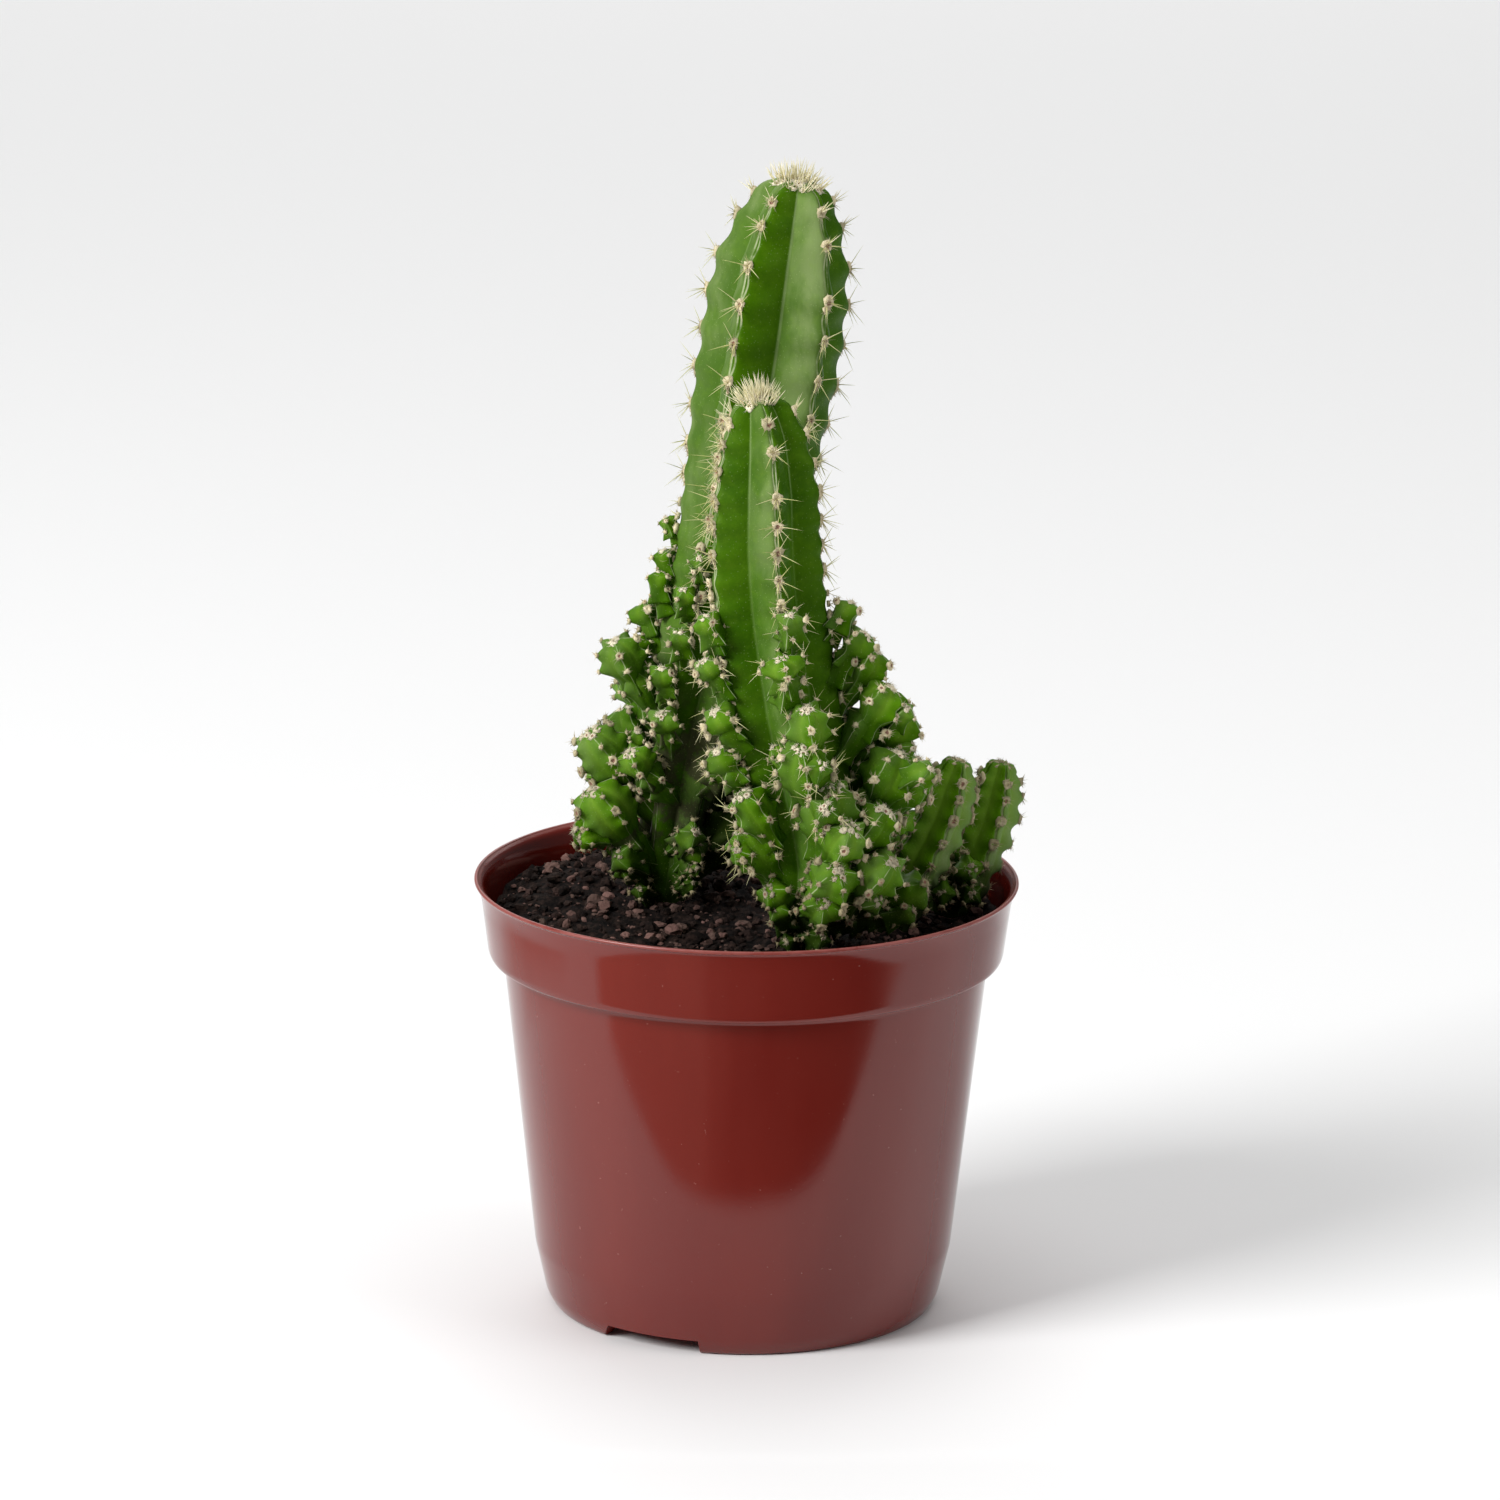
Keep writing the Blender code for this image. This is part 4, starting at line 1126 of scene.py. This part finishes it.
def add_loose_spines(piece, root, out, lengths):
    """Two short thin spines that stand out of an areole anyhow."""
    for _ in range(2):
        aside = around(out, fine.uniform(0, math.tau))
        direction = (out + aside * fine.uniform(0.3, 1.6)).normalized()
        length = fine.uniform(*lengths)
        bend = Vector((0, 0, -0.06 * length))
        add_spine(piece, root, direction, length, SHORT_SPINE_RADIUS, fine.uniform(0.0, 0.5), bend)


def add_spray(piece, root, out, up, count, spray):
    """Straight spines that fan out of an areole."""
    asides, rises, outs, lengths, radius, pallors = spray
    across = out.cross(up)
    for _ in range(count):
        aside = across * fine.uniform(*asides) + up * fine.uniform(*rises)
        direction = (out * fine.uniform(*outs) + aside).normalized()
        length = fine.uniform(*lengths)
        add_spine(piece, root, direction, length, radius, fine.uniform(*pallors))


class StemPieces:
    """The skin, wool and spines of one stem."""

    def __init__(self):
        self.skin = Piece()
        self.wool = Piece()
        self.spines = Piece()


def place_offset(pieces, root, axis, radius, length, outward, spiny):
    """An offset, and on a wide one a smaller offset that leaves its outer side, as in the part.

    The part draws a turn for each of them. Here that draw only keeps the two in step.
    """
    draw.uniform(0, math.pi)
    fine_offset(pieces, root, axis, radius, length, spiny)
    if radius < CHILD_FROM:
        return
    sideways = axis.cross(outward) * draw.choice((-CHILD_ASIDE, CHILD_ASIDE))
    lean = (outward - axis * outward.dot(axis) + sideways).normalized()
    child_root = root + axis * (CHILD_ALONG * length) + lean * (CHILD_ASIDE * radius)
    child_axis = (lean + axis * CHILD_LIFT).normalized()
    child_radius = max(CHILD_LEAST, CHILD_SCALE * radius)
    draw.uniform(0, math.pi)
    fine_offset(pieces, child_root, child_axis, child_radius, CHILD_STOUTNESS * child_radius, spiny, 1)


def place_column(pieces, stem, column, spiny):
    """Offsets down one rib, longer and wider towards the soil, set to either side in turn."""
    rib, highest, lowest, count, radii, lengths, lift = column
    for k in range(count):
        share = k / (count - 1)
        radius = radii[0] + (radii[1] - radii[0]) * share
        length = lengths[0] + (lengths[1] - lengths[0]) * share
        middle = highest + (lowest - highest) * share
        middle += draw.uniform(-HEIGHT_DRIFT, HEIGHT_DRIFT)
        rise = math.radians(lift + draw.uniform(-LIFT_DRIFT, LIFT_DRIFT))
        root_height = middle - 0.5 * length * math.sin(rise)
        zigzag = COLUMN_ZIGZAG * (-1) ** k * (0.3 + share)
        bearing = stem.rib_bearing(rib) + zigzag + draw.uniform(-COLUMN_DRIFT, COLUMN_DRIFT)
        root, out, up = stem.ridge(bearing, root_height)
        axis = (out * math.cos(rise) + up * math.sin(rise)).normalized()
        place_offset(pieces, root, axis, radius, length, out, spiny)


def place_areole(pieces, stem, rib, height):
    """An areole's wool on a ridge, longer below its dark heart."""
    root, out, up = stem.ridge(stem.rib_bearing(rib), height)
    usual, sink = (AREOLE_SIZE, AREOLE_SINK) if stem.crown else (SIDE_AREOLE_SIZE, SIDE_AREOLE_SINK)
    root = root - out * (CREST_ROUND + sink)
    size = usual * fine.uniform(0.9, 1.15)
    add_wool(pieces.wool, root, out, up, size, 1.1)
    for k in range(3):
        drop = size * (0.9 + 0.75 * k)
        below = root - up * drop - out * (stem.scallop(rib, height - drop)[2] + AREOLE_SINK * k)
        add_wool(pieces.wool, below, out, up, size * (0.62 - 0.13 * k), 1.3)
    return root, out, up


def place_areole_spines(pieces, stem, rib, height):
    """An areole with the part's four spines, and some finer ones that hang down and aside."""
    root, out, up = place_areole(pieces, stem, rib, height)
    start = draw.uniform(0, math.tau)
    size = min(1.0, YOUNG_SPINE_SHARE + (stem.tip - height) / YOUNG_SPINE_REACH)
    for k in range(SPINES_PER_AREOLE):
        aside = around(out, start + math.tau * k / SPINES_PER_AREOLE)
        spread = math.radians(draw.uniform(*SPINE_SPREAD))
        direction = (out * math.cos(spread) + aside * math.sin(spread)).normalized()
        length = size * draw.uniform(*SPINE_LENGTH)
        bend = up * (-0.05 * length)
        add_spine(pieces.spines, root, direction, length, SPINE_RADIUS, fine.uniform(0, 0.4), bend)
    across = out.cross(up)
    young = stem.newness(height, YOUNG_REACH)
    for _ in range(FINE_SPINES):
        hang = fine.uniform(0.0, 1.5) - 2.0 * young
        aside = across * fine.uniform(-1.0, 1.0) - up * hang
        direction = (out * fine.uniform(0.35, 0.9) + aside).normalized()
        length = size * fine.uniform(*FINE_SPINE_LENGTH)
        bend = up * (-0.04 * length)
        add_spine(pieces.spines, root, direction, length, FINE_SPINE_RADIUS, fine.uniform(0, 0.5), bend)
    add_spray(pieces.spines, root, out, up, round(FINE_SPINES * young), YOUNG_SPRAY)


def place_ridge_wool(pieces, stem, rib, height):
    """Areoles that still show on the ridge between the offsets, with short spines to the sides."""
    if height < RIDGE_WOOL_FROM:
        return
    for share in (0.0, 0.35, 0.7):
        bearing = stem.rib_bearing(rib) + fine.uniform(-7, 7)
        root, out, up = stem.ridge(bearing, height - share * stem.step)
        root = root - out * RIDGE_WOOL_SINK
        add_wool(pieces.wool, root, out, up, fine.uniform(*RIDGE_WOOL_SIZE), fine.uniform(0.9, 1.5))
        add_spray(pieces.spines, root, out, up, 2, RIDGE_SPRAY)


def place_crown(pieces, stem):
    """The part's tuft of near-upright spines, thickened, on a cushion of wool."""
    centre, right, back, up = stem.line.frame(stem.tip)

    def cushion(lean, share, away):
        return centre + lean * away - up * (CROWN_SLOPE * share**2)

    for k in range(CROWN_BURRS):
        lean = towards(360 * k / CROWN_BURRS, right, back)
        root = centre + lean * CROWN_RADIUS - up * CROWN_DROP
        axis = (up + lean * CROWN_LEAN).normalized()
        for turn in range(SPINES_PER_AREOLE):
            aside = around(axis, math.tau * (k / CROWN_BURRS + turn / SPINES_PER_AREOLE))
            direction = (axis + aside * draw.uniform(*CROWN_SPREAD)).normalized()
            length = draw.uniform(*CROWN_SPINE_LENGTH)
            add_spine(pieces.spines, root, direction, length, CROWN_BURR_RADIUS, 0.7)
    for _ in range(CROWN_SPINES):
        lean = towards(fine.uniform(0, 360), right, back)
        share = fine.random() ** 0.65
        root = cushion(lean, share, stem.crown * share)
        aside = towards(fine.uniform(0, 360), right, back) * 0.3
        direction = (up + lean * (share * fine.uniform(0.3, 1.4)) + aside).normalized()
        length = fine.uniform(*CROWN_FINE_LENGTH) * (1.0 - 0.30 * share)
        radius = fine.uniform(*CROWN_FINE_RADIUS)
        add_spine(pieces.spines, root, direction, length, radius, fine.uniform(0.4, 1.0))
    for _ in range(CROWN_TUFTS):
        lean = towards(fine.uniform(0, 360), right, back)
        share = math.sqrt(fine.random())
        root = cushion(lean, share, 0.9 * stem.crown * share)
        out = (up + lean * share).normalized()
        add_wool(pieces.wool, root, out, lean, fine.uniform(*CROWN_WOOL_SIZE), 1.0, 0.9)


def place_side_crown(pieces, stem):
    """The small woolly crown of a side stem: a tuft in the middle and a ring round it."""
    centre, right, back, up = stem.line.frame(stem.tip)
    for k in range(SIDE_CROWN_TUFTS):
        lean = towards(360 * k / SIDE_CROWN_TUFTS, right, back)
        away = SIDE_CROWN_RADIUS if k else 0.0
        root = centre + lean * away - up * (0.25 * away)
        add_wool(pieces.wool, root, (up + lean * away * 300).normalized(), lean, SIDE_CROWN_WOOL, 1.0)


def dress_stem(name, node, stem, columns, shoots, buds, materials, spiny_ribs=()):
    """One stem: its skin with its offsets, its wool and its spines."""
    pieces = StemPieces()
    stem_skin(pieces.skin, stem)
    for column in columns:
        place_column(pieces, stem, column, column[0] in spiny_ribs)
    for root, tip, radius in shoots:
        axis = Vector(tip) - Vector(root)
        outward = Vector((axis.x, axis.y, 0)).normalized()
        place_offset(pieces, Vector(root), axis.normalized(), radius, axis.length, outward, False)
    for root, tip, radius in buds:
        axis = Vector(tip) - Vector(root)
        fine_offset(pieces, Vector(root), axis.normalized(), radius, axis.length, False)
    tops = {column[0]: column[1] for column in columns}
    for rib in range(RIBS):
        if stem.crown:
            root, out, up = place_areole(pieces, stem, rib, stem.areoles[rib][0])
            add_spray(pieces.spines, root, out, up, CROWN_YOUNG_SPINES, YOUNG_SPRAY)
        for place, height in stem.listed[1:]:
            here = stem.areoles[rib][place]
            if not stem.crown:
                root, out, up = place_areole(pieces, stem, rib, here)
                add_loose_spines(pieces.spines, root, out, SIDE_SPINE_LENGTH)
            elif height > tops[rib] + 0.5 * stem.step:
                # One that is left out is still made, so that the numbers stay in step with the part's
                place_areole_spines(pieces if stem.shows(place) else StemPieces(), stem, rib, here)
            else:
                place_ridge_wool(pieces, stem, rib, here)
    if stem.crown:
        place_crown(pieces, stem)
    else:
        place_side_crown(pieces, stem)
    skin, wool, straw = materials
    pieces.skin.finish(name + "_skin", skin, "cactus_green", replaced=node)
    pieces.wool.finish(name + "_wool", wool, "cactus_green")
    pieces.spines.finish(name + "_spines", straw, "cactus_green")


def turned(name, profile, sides):
    """A solid of revolution from (radius, height) points that begin and end on the axis."""
    bm = bmesh.new()
    points = [bm.verts.new((radius, 0, height)) for radius, height in profile]
    edges = [bm.edges.new(pair) for pair in zip(points, points[1:])]
    bmesh.ops.spin(
        bm, geom=points + edges, cent=(0, 0, 0), axis=(0, 0, 1), angle=math.tau, steps=sides, use_merge=True
    )
    bmesh.ops.remove_doubles(bm, verts=bm.verts, dist=0.00001)
    return mesh_object(name, bm)


def cut(body, cutters):
    """Cuts the cutters out of a body, applies the cuts and removes the cutters."""
    for cutter in cutters:
        difference = body.modifiers.new(cutter.name, "BOOLEAN")
        difference.operation = "DIFFERENCE"
        difference.object = cutter
    bpy.context.view_layer.update()
    graph = bpy.context.evaluated_depsgraph_get()
    mesh = bpy.data.meshes.new_from_object(body.evaluated_get(graph))
    body.modifiers.clear()
    body.data = mesh
    for cutter in cutters:
        bpy.data.objects.remove(cutter)


def notch_cutter(turn):
    """A short sector of a ring, with a side that slants in towards its top."""
    bm = bmesh.new()
    inside = FOOT_RADIUS - FOOT_RING_WIDTH - CUT_MARGIN
    outside = BODY_FOOT_RADIUS + CUT_MARGIN
    rows = []
    for height, (first, last) in ((-CUT_MARGIN, NOTCH_LOW), (NOTCH_HEIGHT, NOTCH_HIGH)):
        for radius in (inside, outside):
            row = []
            for step in range(NOTCH_STEPS + 1):
                direction = flat(turn + first + (last - first) * step / NOTCH_STEPS)
                row.append(bm.verts.new(direction * radius + Vector((0, 0, height))))
            rows.append(row)
    low_in, low_out, high_in, high_out = rows
    for a, b in ((low_in, low_out), (low_out, high_out), (high_out, high_in), (high_in, low_in)):
        for step in range(NOTCH_STEPS):
            bm.faces.new((a[step], a[step + 1], b[step + 1], b[step]))
    for end in (0, -1):
        bm.faces.new((low_in[end], low_out[end], high_out[end], high_in[end]))
    return mesh_object("notch_cutter", bm)


def round_cutter(centre, radius, low, high):
    bm = bmesh.new()
    ring = []
    for step in range(HOLE_SIDES):
        spoke = flat(360 * step / HOLE_SIDES) * radius
        ring.append(bm.verts.new((centre.x + spoke.x, centre.y + spoke.y, low)))
    floor = bm.faces.new(ring)
    grown = bmesh.ops.extrude_face_region(bm, geom=[floor])["geom"]
    raised = [item for item in grown if isinstance(item, bmesh.types.BMVert)]
    bmesh.ops.translate(bm, verts=raised, vec=(0, 0, high - low))
    return mesh_object("round_cutter", bm)


def rounded(points, radius, steps):
    """A profile whose corners are turned into short arcs; the two ends stay."""
    made = [points[0]]
    for before, corner, after in zip(points, points[1:], points[2:]):
        corner = Vector(corner)
        back = Vector(before) - corner
        ahead = Vector(after) - corner
        reach = min(radius, 0.45 * back.length, 0.45 * ahead.length)
        first = corner + back.normalized() * reach
        last = corner + ahead.normalized() * reach
        for step in range(steps + 1):
            t = step / steps
            made.append(tuple(first * (1 - t) ** 2 + corner * (2 * t * (1 - t)) + last * t * t))
    made.append(points[-1])
    return made


def guarded(profile):
    """Adds a point near each end of a long run, so that it is shaded as flat as it is."""
    made = [profile[0]]
    for first, last in zip(profile, profile[1:]):
        first, last = Vector(first), Vector(last)
        if (last - first).length > LONG_RUN:
            near = (last - first).normalized() * GUARD
            made += [tuple(first + near), tuple(last - near)]
        made.append(tuple(last))
    return made


def lip_bead():
    """The rounded top of the lip, from its outside over to its inside."""
    points = []
    for step in range(BEAD_STEPS + 1):
        angle = math.radians(-40 + 200 * step / BEAD_STEPS)
        radius = LIP_RADIUS - LIP_BEAD + LIP_BEAD * math.cos(angle)
        points.append((radius, POT_HEIGHT - LIP_BEAD + LIP_BEAD * math.sin(angle)))
    return points


def dress_pot():
    """The pot with round corners, a beaded lip and its notches and drain holes."""
    floor_top = FLOOR_UNDERSIDE + WALL
    profile = [
        (0, FLOOR_UNDERSIDE),
        (FOOT_RADIUS - FOOT_RING_WIDTH, FLOOR_UNDERSIDE),
        (FOOT_RADIUS - FOOT_RING_WIDTH, 0),
        (FOOT_RADIUS, 0),
        *[(FOOT_RADIUS + out, up) for out, up in HEEL_CURVE],
        (BODY_FOOT_RADIUS, BODY_FOOT_HEIGHT),
        (BODY_TOP_RADIUS, UNDERSIDE - BODY_EASE),
        (BODY_TOP_RADIUS + BODY_EASE, UNDERSIDE),
        *[(COLLAR_FOOT_RADIUS - back, UNDERSIDE + up) for back, up in COLLAR_EASE],
        *[(LIP_RADIUS + out, POT_HEIGHT - down) for out, down in reversed(FLARE)],
        *lip_bead(),
        *[(LIP_RADIUS + out - WALL, POT_HEIGHT - down) for out, down in FLARE],
        (COLLAR_FOOT_RADIUS - WALL, UNDERSIDE + INNER_STEP[0]),
        (BODY_TOP_RADIUS - WALL, UNDERSIDE - INNER_STEP[1]),
        (BODY_FOOT_RADIUS - WALL, BODY_FOOT_HEIGHT),
        (FOOT_RADIUS, floor_top),
        (0, floor_top),
    ]
    pot = turned("pot_shell", guarded(rounded(profile, CORNER_RADIUS, 3)), POT_SIDES)
    pot.data.materials.append(pot_material())
    settle(pot, "pot")
    cutters = [notch_cutter(turn) for turn in (0, 180)]
    for k in range(DRAIN_COUNT):
        centre = flat(360 * k / DRAIN_COUNT) * DRAIN_RING_RADIUS
        cutters.append(round_cutter(centre, DRAIN_RADIUS, CUT_MARGIN, floor_top + CUT_MARGIN))
    cut(pot, cutters)
    pot.data.shade_smooth()
    pot.data.set_sharp_from_angle(angle=math.radians(SHARP_ANGLE))


def soil_top(x, y):
    """Height of the soil as in the part, with finer lumps on it."""
    spot = Vector((x, y, 0))
    lumps = sum(noise.noise(spot * scale) for scale in SOIL_LUMP_SCALES)
    away = (x - MOUND_CENTRE[0]) ** 2 + (y - MOUND_CENTRE[1]) ** 2
    mound = MOUND_HEIGHT * math.exp(-away / MOUND_SPREAD**2)
    level = SOIL_LEVEL + mound + SOIL_ROUGHNESS * max(-1.0, min(1.0, lumps))
    for lump, scale in FINE_LUMPS:
        level += lump * noise.noise(spot * scale)
    return level


def dress_soil(stems):
    """Soil with plain holes for the stems, and crumbs and chunks lying on it."""
    material = soil_material()
    wall_gap = WALL + GAP
    sides = [
        (FOOT_RADIUS - GAP, FLOOR_UNDERSIDE + wall_gap),
        (BODY_FOOT_RADIUS - wall_gap, BODY_FOOT_HEIGHT),
        (BODY_TOP_RADIUS - wall_gap, UNDERSIDE),
        (COLLAR_FOOT_RADIUS - wall_gap, UNDERSIDE + SOIL_EDGE_RISE),
    ]
    directions = [flat(360 * step / SOIL_SIDES) for step in range(SOIL_SIDES)]
    rings = [[d * r + Vector((0, 0, z)) for d in directions] for r, z in sides]
    edge_radius = COLLAR_FOOT_RADIUS - WALL
    for step in range(SOIL_RINGS):
        radius = edge_radius * (1 - step / SOIL_RINGS)
        spots = [d * radius for d in directions]
        rings.append([Vector((p.x, p.y, soil_top(p.x, p.y))) for p in spots])
    ground = Piece()
    looks = [[NO_LOOK] * SOIL_SIDES] * len(rings)
    ground.tube(rings, looks, Vector((0, 0, soil_top(0, 0))), NO_LOOK)
    soil = ground.finish("soil_ground", material, "soil", replaced="soil")
    cutters = []
    feet = []
    for stem in stems:
        centre = stem.line.frame(stem.foot)[0]
        radius = between(stem.girth, FOOT_TOP) + GAP
        cutters.append(round_cutter(centre, radius, stem.foot - GAP, POT_HEIGHT))
        feet.append((centre, radius))
    cut(soil, cutters)

    crumbs = Piece()
    for sizes, count, level in CRUMBS:
        shape = icosphere(level)
        for _ in range(count):
            away = (edge_radius - CRUMB_CLEAR) * math.sqrt(fine.random())
            place = flat(fine.uniform(0, 360)) * away
            size = 0.5 * fine.uniform(*sizes) * CRUMB_SCALE
            if any((place - Vector((c.x, c.y, 0))).length < r + 0.3 * size for c, r in feet):
                continue
            if away + size > edge_radius - CRUMB_WALL_GAP:
                continue
            place.z = soil_top(place.x, place.y) + 0.45 * size
            pale = fine.uniform(0.5, 1.0) if fine.random() < PALE_CRUMBS else fine.uniform(0.0, 0.30)
            add_crumb(crumbs, place, size, shape, (pale, fine.random(), 0.0, 0.0))
    crumbs.finish("soil_crumbs", material, "soil", smooth=False)


def icosphere(level):
    """The points and faces of a ball with a radius of 1."""
    bm = bmesh.new()
    bmesh.ops.create_icosphere(bm, subdivisions=level, radius=1.0)
    points = [v.co.copy() for v in bm.verts]
    faces = [tuple(v.index for v in f.verts) for f in bm.faces]
    bm.free()
    return points, faces


def add_crumb(piece, place, size, shape, look):
    """A lump of soil: a ball squeezed, turned and roughened."""
    points, faces = shape
    turn = Matrix.Rotation(fine.uniform(0, 6.28), 3, "Z") @ Matrix.Rotation(fine.uniform(-0.6, 0.6), 3, "X")
    squeeze = Vector((fine.uniform(0.8, 1.5), fine.uniform(0.7, 1.1), fine.uniform(0.5, 0.9)))
    shift = Vector(fine.uniform(0, 50) for _ in range(3))
    placed = []
    for point in points:
        rough = 1 + 0.55 * noise.noise(point * 1.3 + shift)
        lump = Vector(a * b for a, b in zip(point, squeeze)) * rough
        placed.append(place + turn @ lump * size)
    first = piece.add(placed, [look] * len(placed))
    piece.faces.extend(tuple(first + k for k in face) for face in faces)


def add_light(name, place, aim, size, power):
    light = bpy.data.lights.new(name, "AREA")
    light.shape = "RECTANGLE"
    light.size, light.size_y = size
    light.energy = power
    made = add_object(name, light)
    made.location = place
    made.rotation_euler = (Vector(aim) - Vector(place)).to_track_quat("-Z", "Y").to_euler()


def set_camera():
    """The photo's camera, turned a little round its own line of sight."""
    place, aim = Vector(CAMERA_PLACE), Vector(CAMERA_AIM)
    ahead = (aim - place).normalized()
    right = ahead.cross(Vector((0, 0, 1))).normalized()
    up = right.cross(ahead)
    turned_right = right * math.cos(CAMERA_ROLL) + up * math.sin(CAMERA_ROLL)
    turned_up = up * math.cos(CAMERA_ROLL) - right * math.sin(CAMERA_ROLL)
    data = bpy.data.cameras.new("camera")
    data.lens = CAMERA_LENS
    data.sensor_width = SENSOR_WIDTH
    data.clip_start, data.clip_end = CLIP_RANGE
    camera = add_object("camera", data)
    axes = Matrix((turned_right, turned_up, -ahead)).transposed()
    camera.matrix_world = Matrix.Translation(place) @ axes.to_4x4()
    bpy.context.scene.camera = camera


def mirror_tone(tone):
    """The shade of a spot that the gloss mirrors: 0 is dark, 0.5 is dim, 1 is the floor's own."""
    low, high = (DARK_SHADE, DIM_SHADE) if tone < 0.5 else (DIM_SHADE, FLOOR_SHADE)
    share = 2 * tone if tone < 0.5 else 2 * tone - 1
    return (*[a + (b - a) * share for a, b in zip(low, high)], 1.0)


def add_mirror_card(name, columns, softness):
    """A sheet on the floor that only the object's gloss sees, laid out along the rays that it mirrors."""
    card = Piece()
    lines = []
    for kind in range(3):
        points, looks = [], []
        for bearing, start, tone in columns:
            distance = (start - softness, start + softness, MIRROR_REACH)[kind]
            spot = flat(bearing) * COLLAR_FOOT_RADIUS + flat(2 * bearing) * distance
            points.append((spot.x, spot.y, CARD_HEIGHT))
            looks.append(mirror_tone(tone if kind else 1.0))
        lines.append(card.add(points, looks))
    for near, far in zip(lines, lines[1:]):
        for k in range(len(columns) - 1):
            card.faces.append((near + k, near + k + 1, far + k + 1, far + k))
    n = Nodes("stage_" + name)
    n.colour = n.node("ShaderNodeAttribute", attribute_name="look").outputs["Color"]
    made = card.stage(name, n.shade(0.9))
    made.visible_camera = False
    made.visible_diffuse = False
    made.visible_shadow = False


def set_stage():
    """A pale floor, a pale sky, soft lights, and the dark place in front where the camera would stand."""
    floor = Piece()
    floor.add(FLOOR_CORNERS, [NO_LOOK] * len(FLOOR_CORNERS))
    floor.faces.append((0, 1, 2, 3))
    n = Nodes("stage_floor")
    n.colour = (*FLOOR_SHADE, 1.0)
    floor.stage("floor", n.shade(0.7))
    add_mirror_card("front_mirror", FRONT_MIRROR, 0.004)
    add_mirror_card("left_mirror", LEFT_MIRROR, 0.025)
    world = bpy.data.worlds.new("studio")
    world.use_nodes = True
    sky = world.node_tree.nodes["Background"]
    sky.inputs["Color"].default_value = (1.0, 1.0, 1.0, 1.0)
    sky.inputs["Strength"].default_value = SKY_STRENGTH
    bpy.context.scene.world = world
    for light in LIGHTS:
        add_light(*light)
    bpy.context.scene.view_settings.view_transform = "Standard"


def main():
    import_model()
    set_camera()
    set_stage()
    materials = (skin_material(), wool_material(), spine_material())
    tall = Stem(TALL_PATH, TALL_GIRTH, TALL_FIRST_RIB, TALL_AREOLE_STEP, TALL_SLIPS, TALL_CROWN)
    front = Stem(FRONT_PATH, FRONT_GIRTH, FRONT_FIRST_RIB, FRONT_AREOLE_STEP, FRONT_SLIPS, FRONT_CROWN)
    inner = Stem(INNER_PATH, INNER_GIRTH, SIDE_FIRST_RIB, SIDE_AREOLE_STEP, tooth=SIDE_TOOTH)
    outer = Stem(OUTER_PATH, OUTER_GIRTH, SIDE_FIRST_RIB, SIDE_AREOLE_STEP, tooth=SIDE_TOOTH)
    dress_pot()
    dress_soil((tall, front, inner, outer))
    dress_stem("tall", "stem_tall", tall, TALL_COLUMNS, TALL_SHOOTS, TALL_BUDS, materials)
    dress_stem("front", "stem_front", front, FRONT_COLUMNS, FRONT_SHOOTS, FRONT_BUDS, materials, SPINY_RIBS)
    dress_stem("inner", "side_stem_inner", inner, [], INNER_SHOOTS, [], materials)
    dress_stem("outer", "side_stem_outer", outer, [], OUTER_SHOOTS, OUTER_BUDS, materials)


main()
